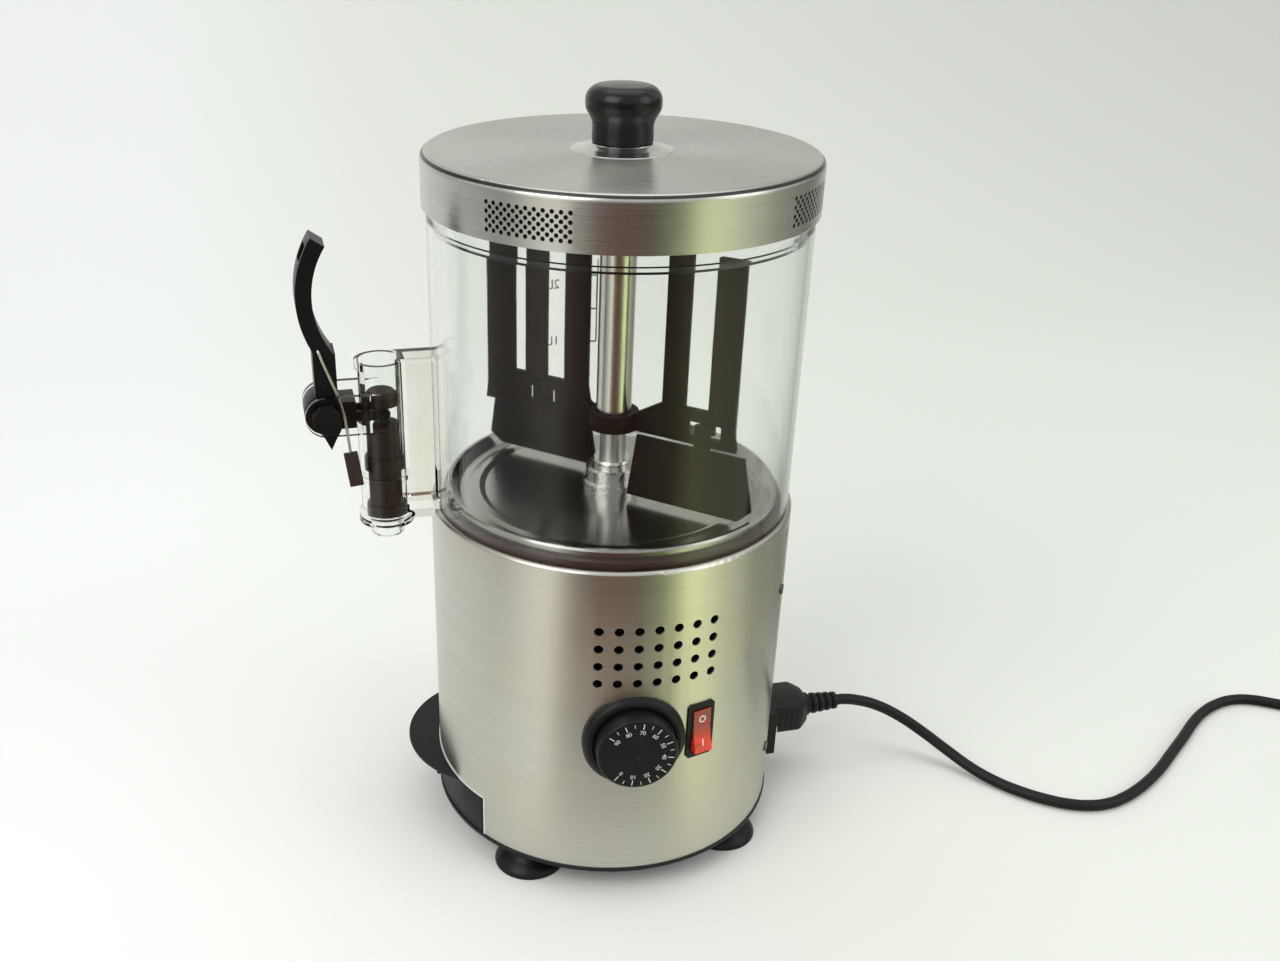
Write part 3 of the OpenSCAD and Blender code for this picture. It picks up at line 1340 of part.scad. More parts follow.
// The cord's route on the table, chosen by hand: out of the connector, down and along in front
cord_z = cord_r + 0.15;
cord_route = [[relief_end, 0, shell_z + inlet_z], [150, 0, 38.9], [160, 0, 36.5], [172, -1, 32],
    [186, -6, 25], [199, -15, 17], [210, -26, 10], [220, -40, 5.2], [230, -54, cord_z], [239, -65, cord_z],
    [249, -74, cord_z], [260, -81, cord_z], [272, -85, cord_z], [284, -85.5, cord_z], [296, -82.5, cord_z],
    [308, -77.5, cord_z], [320, -71, cord_z], [334, -62, cord_z], [346, -53, cord_z], [358, -44, cord_z],
    [370, -35, cord_z], [384, -24, cord_z], [398, -15, cord_z], [412, -9, cord_z], [426, -6.5, cord_z],
    [438, -9, cord_z], [450, -16, cord_z], [462, -24, cord_z], [474, -31, cord_z], [488, -37, cord_z],
    [503, -41, cord_z], [518, -43, cord_z], [530, -43, cord_z]];

// Catmull-Rom points between the route's own points, for an even bend
function spline(p, i, t) = let (a = p[max(i - 1, 0)], b = p[i], c = p[i + 1], d = p[min(i + 2, len(p) - 1)])
    0.5 * (2 * b + (c - a) * t + (2 * a - 5 * b + 4 * c - d) * t * t + (3 * b - a - 3 * c + d) * t * t * t);

module mains_cord() {
    route = [for (i = [0:len(cord_route) - 2]) each [spline(cord_route, i, 0), spline(cord_route, i, 0.5)],
        cord_route[len(cord_route) - 1]];
    color(black) swept_tube(route, cord_r, 8);
}

// The unseen rest of the cord, wound in two layers: inward on the table and outward on top
coil_start = cord_route[len(cord_route) - 1];
coil_centre = [coil_start.x + cord_d, coil_start.y - coil_r, 0];
coil_pitch = cord_d + 1.5;
layer_rise = cord_d + 0.7;
coil_loops = 2 * coil_turns + 0.5;
rings_per_loop = 24;
plug_z = 19;
tail_l = 44;

function coil_radius(t) = t < coil_turns ? coil_r - coil_pitch * t
    : t < coil_turns + 0.5 ? coil_r - coil_pitch * coil_turns
    : coil_r - coil_pitch * (coil_loops - t);
function coil_height(t) = cord_z + layer_rise * min(1, max(0, 2 * (t - coil_turns)));
function coil_point(t) = let (r = coil_radius(t), a = 90 - 360 * t)
    [coil_centre.x + r * cos(a), coil_centre.y + r * sin(a), coil_height(t)];
coil_end = coil_point(coil_loops);
function ease(k) = k * k * (3 - 2 * k);
tail_steps = 8;
coil_points = concat([coil_start],
    [for (i = [0:coil_loops * rings_per_loop]) coil_point(i / rings_per_loop)],
    [for (i = [1:tail_steps]) let (k = i / tail_steps)
        [coil_end.x - tail_l * k, coil_end.y, coil_end.z + (plug_z - coil_end.z) * ease(min(1, k / 0.8))]]);
loop_points = [for (i = [1:len(coil_points) - 1]) coil_points[i]];
near_loop = floor(rings_per_loop / 2);
coil_gap = min([for (i = [0:len(loop_points) - 1]) for (j = [i + near_loop:1:len(loop_points) - 1])
    norm(loop_points[i] - loop_points[j])]) - cord_d;
echo(least_gap_of_coil = coil_gap);  // cord_coil

module cord_coil() {
    color(black) swept_tube(coil_points, cord_r, 6);
}

plug_face_r = 18.6;
plug_body_l = 34;

module at_plug() {
    translate([coil_end.x - tail_l, coil_end.y, plug_z]) rotate([0, -90, 0]) children();
}

module mains_plug() {
    color(black) at_plug() difference() {
        rotate_extrude() polygon([[0, 0], [cord_r + 1, 0], [cord_r + 2, 12], [12, 16], [14, 20],
            [plug_face_r, 24], [plug_face_r, 24 + plug_body_l * 0.5], [plug_face_r - 1, 25 + plug_body_l * 0.5],
            [0, 25 + plug_body_l * 0.5]]);
        for (s = [-1, 1]) translate([0, 9.5 * s, 32]) cylinder(r = 2.4 + fit / 2, h = 20, $fn = 32);
        for (s = [-1, 1]) translate([plug_face_r * s - 2, -2.5, 28]) cube([4, 5, 20]);
    }
}

module plug_pins() {
    color(chrome) at_plug() for (s = [-1, 1]) translate([0, 9.5 * s, 33]) {
        cylinder(r = 2.4, h = 26, $fn = 32);
        translate([0, 0, 26]) sphere(r = 2.4, $fn = 32);
    }
}

base_plate();
suction_feet();
foot_screws();
body_shell();
rear_panel();
panel_screws();
front_bracket();
seat_ring();
tie_rods();
tie_screws();
chassis_plate();
plate_gasket();
heating_plate();
heating_element();
heat_spreader();
insulation_disc();
standpipe();
standpipe_nuts();
shaft_bushes();
gearbox_case();
motor_can();
gearbox_screws();
output_gear();
drive_shaft();
motor_rotor();
motor_pinion();
agitator_tube();
agitator_frame();
scraper_blades();
thermostat_bezel();
thermostat_body();
thermostat_bulb();
thermostat_spindle();
thermostat_knob();
thermal_cutout();
switch_frame();
switch_rocker();
inlet_socket();
inlet_pins();
inlet_screws();
terminal_block();
wiring();
tank();
tap_body();
plunger();
tap_lever();
lever_pin();
return_spring();
spring_sleeve();
lid_shell();
lid_ring();
lid_ferrule();
lid_knob();
lid_screw();
mains_connector();
mains_cord();
cord_coil();
mains_plug();
plug_pins();
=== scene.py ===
import math

import bmesh
import bpy
from mathutils import Matrix, Vector


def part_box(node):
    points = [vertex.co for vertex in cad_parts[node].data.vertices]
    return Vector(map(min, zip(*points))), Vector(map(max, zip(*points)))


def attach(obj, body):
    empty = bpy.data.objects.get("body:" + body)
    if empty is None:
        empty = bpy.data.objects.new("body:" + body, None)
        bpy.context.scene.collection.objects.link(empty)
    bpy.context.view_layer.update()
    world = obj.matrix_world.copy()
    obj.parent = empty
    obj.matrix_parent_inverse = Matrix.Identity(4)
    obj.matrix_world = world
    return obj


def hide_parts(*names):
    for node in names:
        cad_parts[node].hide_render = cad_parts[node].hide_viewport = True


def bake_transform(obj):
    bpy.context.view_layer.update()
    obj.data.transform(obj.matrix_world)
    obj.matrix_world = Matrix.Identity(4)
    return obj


bl_info = {
    "name": "Hot chocolate dispenser",
    "version": (1, 0, 0),
    "blender": (4, 5, 0),
    "location": "3D View > Sidebar > Dispenser",
    "description": "Dresses the dispenser: its steelwork, clear tank, tap, stirrer, controls and lead",
    "category": "Add Mesh",
}

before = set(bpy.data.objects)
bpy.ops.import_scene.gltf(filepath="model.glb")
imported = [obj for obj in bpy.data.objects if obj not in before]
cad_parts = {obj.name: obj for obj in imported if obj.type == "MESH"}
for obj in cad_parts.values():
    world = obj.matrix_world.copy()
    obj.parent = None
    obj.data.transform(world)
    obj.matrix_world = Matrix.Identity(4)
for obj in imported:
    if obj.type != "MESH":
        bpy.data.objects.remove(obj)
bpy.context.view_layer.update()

MM = 0.001


# ---- Places, as the part's source has them, in millimetres ----

BODY_R = 94.0
SHELL_Z = 17.0
BRACKET_AZIMUTH = -101.6
BRACKET_HALF = 44.3
BRACKET_TOP = 41.5
CONTROL_Z = 98.6
DIAL_AZIMUTH = -6.3
DIAL_FACE = 106.5
SWITCH_AZIMUTH = 15.4
ROCKER_X = 93.0
ROCKER_TILT = 8.0
FERRULE_TOP = 369.9
INLET_Z = 39.0
FOOT_CIRCLE = 78.0
FOOT_AZIMUTHS = (45, 135, 225, 315)
TANK_R = 92.0
WIRE_Y = 9.0
SCALE_AZIMUTH = 171.5
SCALE_LOW = 243.0
SCALE_STEP = 19.0
LID_WALL = 1.0


def side(azimuth):
    """Turns a place built outward along +X to an azimuth, which runs from the control side."""
    return Matrix.Rotation(math.radians(azimuth - 90), 4, "Z")


def mm(*place):
    return Vector(place) * MM


# ---- Settings ----


class DispenserSteel(bpy.types.PropertyGroup):
    """The brushed steel of the body and the lid"""

    colour: bpy.props.FloatVectorProperty(
        name="Steel", description="Colour of the brushed steel", subtype="COLOR", size=3,
        min=0, max=1, default=(0.57, 0.555, 0.505))
    lid_colour: bpy.props.FloatVectorProperty(
        name="Lid", description="Colour of the lid's steel", subtype="COLOR", size=3,
        min=0, max=1, default=(0.535, 0.54, 0.52))
    roughness: bpy.props.FloatProperty(
        name="Roughness", description="Roughness of the brushed steel", subtype="FACTOR",
        min=0.1, max=0.8, default=0.34)
    grain: bpy.props.FloatProperty(
        name="Grain", description="Distance between brush lines", unit="LENGTH",
        min=0.0002, max=0.002, default=0.0006)


class DispenserPlastics(bpy.types.PropertyGroup):
    """The moulded, clear and rubber pieces"""

    black: bpy.props.FloatVectorProperty(
        name="Black", description="Colour of the black mouldings", subtype="COLOR", size=3,
        min=0, max=1, default=(0.006, 0.006, 0.0065))
    charcoal: bpy.props.FloatVectorProperty(
        name="Charcoal", description="Colour of the base and the front bracket", subtype="COLOR",
        size=3, min=0, max=1, default=(0.009, 0.009, 0.0095))
    cocoa: bpy.props.FloatVectorProperty(
        name="Cocoa", description="Colour of the stirrer and the plunger", subtype="COLOR",
        size=3, min=0, max=1, default=(0.022, 0.013, 0.011))
    gasket: bpy.props.FloatVectorProperty(
        name="Gasket", description="Colour of the silicone gasket", subtype="COLOR", size=3,
        min=0, max=1, default=(0.085, 0.045, 0.040))
    clear: bpy.props.FloatVectorProperty(
        name="Clear", description="Tint of the clear tank and tap", subtype="COLOR", size=3,
        min=0, max=1, default=(0.965, 0.975, 0.965))


class DispenserControls(bpy.types.PropertyGroup):
    """The dial and the switch"""

    marks: bpy.props.FloatVectorProperty(
        name="Marks", description="Colour of the dial's marks", subtype="COLOR", size=3,
        min=0, max=1, default=(0.62, 0.62, 0.60))
    figure_height: bpy.props.FloatProperty(
        name="Figures", description="Height of the dial's figures", unit="LENGTH",
        min=0.0015, max=0.004, default=0.0023)
    rocker: bpy.props.FloatVectorProperty(
        name="Rocker", description="Colour of the switch's rocker", subtype="COLOR", size=3,
        min=0, max=1, default=(0.62, 0.012, 0.010))


class DispenserLead(bpy.types.PropertyGroup):
    """The mains lead"""

    diameter: bpy.props.FloatProperty(
        name="Diameter", description="Diameter of the mains lead", unit="LENGTH",
        min=0.005, max=0.008, default=0.0065)
    coil_radius: bpy.props.FloatProperty(
        name="Coil", description="Mean radius of the coil's outermost turn", unit="LENGTH",
        min=0.042, max=0.05, default=0.043)


class DispenserStage(bpy.types.PropertyGroup):
    """The camera, the light and the backdrop"""

    lens: bpy.props.FloatProperty(
        name="Lens", description="Focal length of the camera", unit="CAMERA", min=20, max=120,
        default=37.69)
    floor: bpy.props.FloatVectorProperty(
        name="Floor", description="Colour of the floor", subtype="COLOR", size=3, min=0, max=1,
        default=(0.93, 0.945, 0.935))
    key: bpy.props.FloatProperty(
        name="Key light", description="Power of the key light", unit="POWER", min=0, max=200,
        default=17)
    fill: bpy.props.FloatProperty(
        name="Fill light", description="Power of the fill light", unit="POWER", min=0, max=200,
        default=7)


# ---- Shader maths ----


class Value:
    """A number that varies over a surface; arithmetic on it adds Math nodes."""

    def __init__(self, paint, socket):
        self.paint, self.socket = paint, socket

    def _maths(self, operation, *others):
        return self.paint.node("ShaderNodeMath", {"operation": operation}, dict(enumerate(others)))

    def __add__(self, other):
        return self._maths("ADD", self, other)

    def __mul__(self, other):
        return self._maths("MULTIPLY", self, other)

    def __sub__(self, other):
        return self._maths("SUBTRACT", self, other)

    def __rsub__(self, other):
        return self._maths("SUBTRACT", other, self)

    def __truediv__(self, other):
        return self._maths("DIVIDE", self, other)

    def __pow__(self, other):
        return self._maths("POWER", self, other)

    def over(self, low, high):
        """0 below low, 1 above high, and smooth between them."""
        return self.paint.node("ShaderNodeMapRange", {"interpolation_type": "SMOOTHSTEP"},
                               {0: self, 1: low, 2: high, 3: 0.0, 4: 1.0})


class Paint:
    """One material, built up node by node on its own principled shader."""

    def __init__(self, name, tree=None, **constants):
        if tree is None:
            self.material = bpy.data.materials.new(name)
            self.material.use_nodes = True
            tree = self.material.node_tree
            self.shader = tree.nodes["Principled BSDF"]
        self.tree = tree
        for socket, value in constants.items():
            self.set(socket.replace("_", " "), value)

    def put(self, socket, value):
        if isinstance(value, Value):
            self.tree.links.new(value.socket, socket)
        elif socket.type == "RGBA" and len(value) == 3:
            socket.default_value = (*value, 1.0)
        else:
            socket.default_value = value

    def set(self, socket, value):
        """Sets or links one of the shader's own sockets."""
        self.put(self.shader.inputs[socket], value)

    def node(self, kind, settings=None, inputs=None, out=0):
        """Any node: its settings are set first, with a ramp's colours as stops, and then its sockets."""
        made = self.tree.nodes.new(kind)
        for key, value in (settings or {}).items():
            if key == "stops":
                stops = made.color_ramp.elements
                for place, colour in value[1:-1]:
                    stops.new(place).color = (*colour, 1.0)
                stops[0].color, stops[-1].color = (*value[0][1], 1.0), (*value[-1][1], 1.0)
            else:
                setattr(made, key, value)
        for key, value in (inputs or {}).items():
            self.put(made.inputs[key], value)
        return Value(self, made.outputs[out])

    def place(self):
        """The point's place in the piece."""
        return self.node("ShaderNodeTexCoord", out="Object")

    def parts(self, vector):
        """The three numbers of a vector."""
        made = self.node("ShaderNodeSeparateXYZ", inputs={0: vector})
        return [Value(self, s) for s in made.socket.node.outputs]

    def join(self, x, y, z):
        return self.node("ShaderNodeCombineXYZ", inputs={0: x, 1: y, 2: z})

    def noise(self, vector, scale=1.0, detail=2.0, roughness=0.5):
        return self.node("ShaderNodeTexNoise", inputs={
            "Vector": vector, "Scale": scale, "Detail": detail, "Roughness": roughness})

    def mix(self, first, second, factor):
        return self.node("ShaderNodeMix", {"data_type": "RGBA"}, {0: factor, 6: first, 7: second}, out=2)

    def bump(self, height, strength, distance):
        return self.node("ShaderNodeBump", inputs={
            "Height": height, "Strength": strength, "Distance": distance})


def shade(colour, factor):
    return tuple(min(1.0, c * factor) for c in colour)


# ---- Materials ----


def brushed_steel(name, colour, roughness, grain, concentric=False, stains=0.0, aniso=0.72,
                  inside=None):
    """Brushed sheet steel: fine lines round the axis, faint streaks, smudges and drips.

    inside is a radius and a height that bound the inner faces of a cover, which are painted near black as
    painted shade.
    """
    p = Paint(name, Metallic=1.0, Anisotropic=aniso, Anisotropic_Rotation=0.25)
    here = p.place()
    x, y, z = p.parts(here)
    per_line = 1 / grain
    if concentric:
        radius = (x * x + y * y) ** 0.5
        across = p.join(radius * per_line, z * per_line, x * 7.0)
        broad = p.join(radius * per_line * 0.22, z * per_line * 0.22, y * 4.0)
    else:
        across = p.join(x * 6.0, y * 6.0, z * per_line)
        broad = p.join(x * 4.0, y * 4.0, z * per_line * 0.2)
    lines = p.noise(across, 1.0, 3.0, 0.65)
    bands = p.noise(broad, 1.0, 2.0, 0.5)
    cloud = p.noise(here, 14.0, 3.0, 0.55)
    smudge = p.noise(here, 38.0, 4.0, 0.6)
    tone = p.mix(shade(colour, 0.94), shade(colour, 1.05), lines.over(0.3, 0.7))
    tone = p.mix(tone, shade(colour, 0.95), bands.over(0.5, 0.8) * 0.4)
    warm = (colour[0] * 1.03, colour[1] * 0.99, colour[2] * 0.90)
    tone = p.mix(tone, warm, cloud.over(0.42, 0.7) * 0.7)
    if stains:
        tone = p.mix(tone, (0.20, 0.15, 0.10), smudge.over(0.66, 0.82) * stains)
    if inside:
        inner_r, inner_z = inside
        # Painted shade: the faces inside the cover are painted near black, as the shade inside the lid.
        painted_shade_inside = (1 - ((x * x + y * y) ** 0.5).over(inner_r, inner_r + 0.0002)) * (
            1 - z.over(inner_z, inner_z + 0.0002))
        tone = p.mix(tone, shade(colour, 0.10), painted_shade_inside)
    p.set("Base Color", tone)
    p.set("Roughness", lines * 0.10 + cloud.over(0.35, 0.75) * 0.07 + smudge.over(0.6, 0.75) * 0.06
          + (roughness - 0.10))
    p.set("Normal", p.bump(lines, 0.08, 0.00003))
    return p.material


def plain_steel(name, colour, roughness, grain=0.0009, wear=0.0):
    """Steel that isn't brushed in one direction, such as screws and rods."""
    p = Paint(name, Metallic=1.0)
    here = p.place()
    fine = p.noise(here, 1 / grain, 2.0, 0.6)
    cloud = p.noise(here, 45.0, 3.0, 0.6)
    tone = p.mix(shade(colour, 0.9), shade(colour, 1.06), fine)
    p.set("Base Color", p.mix(tone, shade(colour, 0.7), cloud.over(0.5, 0.8) * (0.25 + wear)))
    p.set("Roughness", fine * 0.08 + cloud * 0.16 + (roughness - 0.12))
    p.set("Normal", p.bump(fine, 0.10, 0.00003))
    return p.material


def moulded(name, colour, roughness, grain=0.0012, depth=0.00003, strength=0.14, dust=0.0,
            coat=0.0, warm=None, shine=0.22):
    """A moulded plastic: a fine sparked grain, faint cloudiness, dust and rubbed places."""
    p = Paint(name, Metallic=0.0, Coat_Weight=coat, Coat_Roughness=0.12, Specular_IOR_Level=shine)
    here = p.place()
    fine = p.noise(here, 1 / grain, 2.0, 0.55)
    cloud = p.noise(here, 60.0, 3.0, 0.55)
    specks = p.noise(here, 900.0, 1.0, 0.5)
    tone = p.mix(shade(colour, 0.85), shade(colour, 1.3), cloud)
    if warm:
        tone = p.mix(tone, warm, p.noise(here, 90.0, 4.0, 0.65).over(0.5, 0.75) * 0.5)
    if dust:
        tone = p.mix(tone, (0.30, 0.29, 0.27), specks.over(0.68, 0.8) * cloud.over(0.4, 0.7) * dust)
    p.set("Base Color", tone)
    p.set("Roughness", fine * 0.12 + cloud * 0.14 + (roughness - 0.13))
    p.set("Normal", p.bump(fine, strength, depth))
    return p.material


def clear_plastic(name, tint, roughness, haze=0.0, stained=0.0):
    """Clear moulded plastic with light scratches, a faint haze and, out to a radius, cocoa stains."""
    p = Paint(name, Transmission_Weight=1.0, IOR=1.47, Specular_Tint=(0.35, 0.35, 0.35))
    here = p.place()
    x, y, z = p.parts(here)
    scratch = p.noise(p.join(x * 900.0, y * 900.0, z * 40.0), 1.0, 2.0, 0.6)
    smear = p.noise(p.join(x * 30.0, y * 30.0, z * 8.0), 1.0, 3.0, 0.6)
    tone = p.mix(tint, shade(tint, 0.93), smear.over(0.5, 0.8))
    if stained:
        near = 1 - ((x * x + y * y) ** 0.5).over(stained - 0.012, stained)
        streaks = p.noise(p.join(x * 160.0, y * 160.0, z * 25.0), 1.0, 3.0, 0.6)
        tone = p.mix(tone, (0.86, 0.82, 0.72), near * (streaks.over(0.3, 0.8) * 0.4 + 0.2))
    p.set("Base Color", tone)
    p.set("Roughness", smear.over(0.5, 0.8) * haze + scratch.over(0.6, 0.8) * 0.05 + roughness)
    p.set("Normal", p.bump(scratch + smear * 0.4, 0.05, 0.00003))
    return p.material


def glowing_red(name, colour):
    """The rocker's clear red plastic, brighter low down where its lamp sits."""
    p = Paint(name, Coat_Weight=0.6, Coat_Roughness=0.08)
    here = p.place()
    x, y, z = p.parts(here)
    low = 1 - z.over(CONTROL_Z * MM - 0.006, CONTROL_Z * MM + 0.004)
    facets = p.noise(here, 420.0, 1.0, 0.4)
    tone = p.mix(shade(colour, 0.35), colour, low * 0.75 + facets.over(0.35, 0.65) * 0.25)
    p.set("Base Color", tone)
    p.set("Roughness", facets * 0.12 + 0.18)
    p.set("Emission Color", p.mix((0.0, 0.0, 0.0), (0.9, 0.03, 0.02), low * facets.over(0.3, 0.7)))
    p.set("Emission Strength", 0.22)
    p.set("Normal", p.bump(facets, 0.3, 0.0003))
    return p.material


def printed(name, colour):
    """Printed marks: slightly worn and uneven ink."""
    p = Paint(name)
    worn = p.noise(p.place(), 1500.0, 2.0, 0.6)
    p.set("Base Color", p.mix(colour, shade(colour, 0.72), worn.over(0.45, 0.75)))
    p.set("Roughness", worn * 0.2 + 0.45)
    return p.material


def finish_for(nodes, material):
    """Gives CAD nodes a material in place of their plain one."""
    for name in nodes:
        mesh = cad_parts[name].data
        mesh.materials.clear()
        mesh.materials.append(material)


# ---- Making pieces ----


def fresh():
    """Object mode with nothing selected, before a piece is started."""
    if bpy.context.mode != "OBJECT":
        bpy.ops.object.mode_set(mode="OBJECT")
    bpy.ops.object.select_all(action="DESELECT")


def started(name):
    piece = bpy.context.active_object
    piece.name = piece.data.name = name
    return piece


def editing():
    bpy.ops.object.mode_set(mode="EDIT")
    bpy.ops.mesh.select_all(action="DESELECT")


def pick(kind, test):
    """Selects the vertices, edges or faces that pass a test, in edit mode, and nothing else."""
    mesh = bpy.context.edit_object.data
    bpy.ops.mesh.select_mode(type={"verts": "VERT", "edges": "EDGE", "faces": "FACE"}[kind])
    bpy.ops.mesh.select_all(action="DESELECT")
    made = bmesh.from_edit_mesh(mesh)
    for element in getattr(made, kind):
        if test(element):
            element.select_set(True)
    made.select_flush_mode()
    bmesh.update_edit_mesh(mesh)


def extruded(by):
    bpy.ops.mesh.extrude_region_move(TRANSFORM_OT_translate={"value": tuple(by)})


def ring_scaled(x, y, centre):
    bpy.ops.transform.resize(value=(x, y, 1.0), center_override=tuple(centre))


def traced(name, path, radius, roundness=3, kind="BEZIER"):
    """A round curve along a path, which bends at each point, or has a corner there if kind is POLY."""
    curve = bpy.data.curves.new(name, "CURVE")
    curve.dimensions = "3D"
    line = curve.splines.new(kind)
    if kind == "POLY":
        line.points.add(len(path) - 1)
        for place, knot in zip(path, line.points):
            knot.co = (*place, 1.0)
    else:
        line.bezier_points.add(len(path) - 1)
        for place, knot in zip(path, line.bezier_points):
            knot.co = place
            knot.handle_left_type = knot.handle_right_type = "AUTO"
    curve.bevel_depth = radius
    curve.bevel_resolution = roundness
    curve.resolution_u = 4
    curve.use_fill_caps = True
    made = bpy.data.objects.new(name, curve)
    bpy.context.scene.collection.objects.link(made)
    return made


def meshed(curve):
    """The mesh of a curve."""
    fresh()
    curve.select_set(True)
    bpy.context.view_layer.objects.active = curve
    bpy.ops.object.convert(target="MESH")
    bpy.ops.object.shade_smooth_by_angle(angle=math.radians(50))
    return curve


def turned(name, profile, sides=64, closed=True):
    """A turned shape round Z: a circle is extruded from ring to ring of (radius, height)."""
    fresh()
    r, z = profile[0]
    bpy.ops.mesh.primitive_circle_add(vertices=sides, radius=r * MM, location=mm(0, 0, z),
                                      fill_type="NGON" if closed else "NOTHING")
    piece = started(name)
    bpy.ops.object.transform_apply(location=True)
    editing()
    pick("edges", lambda e: True)
    for nr, nz in profile[1:]:
        bpy.ops.mesh.extrude_edges_move(TRANSFORM_OT_translate={"value": (0, 0, (nz - z) * MM)})
        if abs(nr - r) > 1e-6:
            ring_scaled(nr / r, nr / r, (0, 0, 0))
        r, z = nr, nz
    if closed:
        bpy.ops.mesh.edge_face_add()
    bpy.ops.mesh.select_all(action="SELECT")
    bpy.ops.mesh.normals_make_consistent(inside=False)
    bpy.ops.object.mode_set(mode="OBJECT")
    return piece


def block(name, low, high, round_by=0.0, segments=3):
    """A rounded block between two corners, in millimetres."""
    fresh()
    bpy.ops.mesh.primitive_cube_add(size=1.0, location=(mm(*low) + mm(*high)) / 2)
    piece = started(name)
    piece.scale = mm(*high) - mm(*low)
    bpy.ops.object.transform_apply(location=True, scale=True)
    if round_by:
        rounded(piece, round_by, segments)
    return piece


def applied(piece, kind, **values):
    """Adds a modifier and applies it."""
    bpy.context.view_layer.objects.active = piece
    made = piece.modifiers.new(kind.title(), kind)
    for key, value in values.items():
        setattr(made, key, value)
    bpy.ops.object.modifier_apply(modifier=made.name)


def rounded(piece, by, segments=3, angle=30.0):
    applied(piece, "BEVEL", width=by * MM, segments=segments, limit_method="ANGLE",
            angle_limit=math.radians(angle), harden_normals=False)


def joined(pieces, name):
    """Joins pieces into the first one."""
    fresh()
    for piece in pieces:
        piece.select_set(True)
    bpy.context.view_layer.objects.active = pieces[0]
    bpy.ops.object.join()
    return started(name)


def moved(piece, matrix):
    """Puts a finished mesh in its place, and leaves its object at the origin."""
    piece.matrix_world = matrix @ piece.matrix_world
    fresh()
    piece.select_set(True)
    bpy.context.view_layer.objects.active = piece
    bpy.ops.object.transform_apply(location=True, rotation=True, scale=True)
    return piece


def copied(piece, name, matrix):
    fresh()
    piece.select_set(True)
    bpy.context.view_layer.objects.active = piece
    bpy.ops.object.duplicate(linked=False)
    return moved(started(name), matrix)


def done(piece, body, material, angle=35.0):
    """Smooths a piece, gives it its material, and lets it ride on its body."""
    fresh()
    piece.select_set(True)
    bpy.context.view_layer.objects.active = piece
    if piece.type == "MESH":
        bpy.ops.object.shade_smooth_by_angle(angle=math.radians(angle))
    piece.data.materials.clear()
    piece.data.materials.append(material)
    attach(piece, body)
    fresh()
    return piece


def softened(nodes, by, segments=2, angle=40.0):
    """Rounds the sharp edges of CAD nodes with live modifiers."""
    for name in nodes:
        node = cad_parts[name]
        weld = node.modifiers.new("Weld", "WELD")
        weld.merge_threshold = 0.00002
        bevel = node.modifiers.new("Bevel", "BEVEL")
        bevel.width = by * MM
        bevel.segments = segments
        bevel.limit_method = "ANGLE"
        bevel.angle_limit = math.radians(angle)
        bevel.harden_normals = True


def figures(words, size):
    """Raised figures in the XY plane, centred on the origin, size in millimetres."""
    fresh()
    bpy.ops.object.text_add()
    text = bpy.context.active_object
    text.data.body = words
    text.data.size = size * MM
    text.data.align_x = "CENTER"
    text.data.align_y = "CENTER"
    text.data.extrude = 0.03 * MM
    bpy.ops.object.convert(target="MESH")
    return bpy.context.active_object


def arc(cx, cz, r, start, end, steps):
    """Points of an arc in a profile, as (radius, height), with angles in degrees."""
    return [(cx + r * math.cos(math.radians(start + (end - start) * i / steps)),
             cz + r * math.sin(math.radians(start + (end - start) * i / steps)))
            for i in range(steps + 1)]


# ---- Operators ----


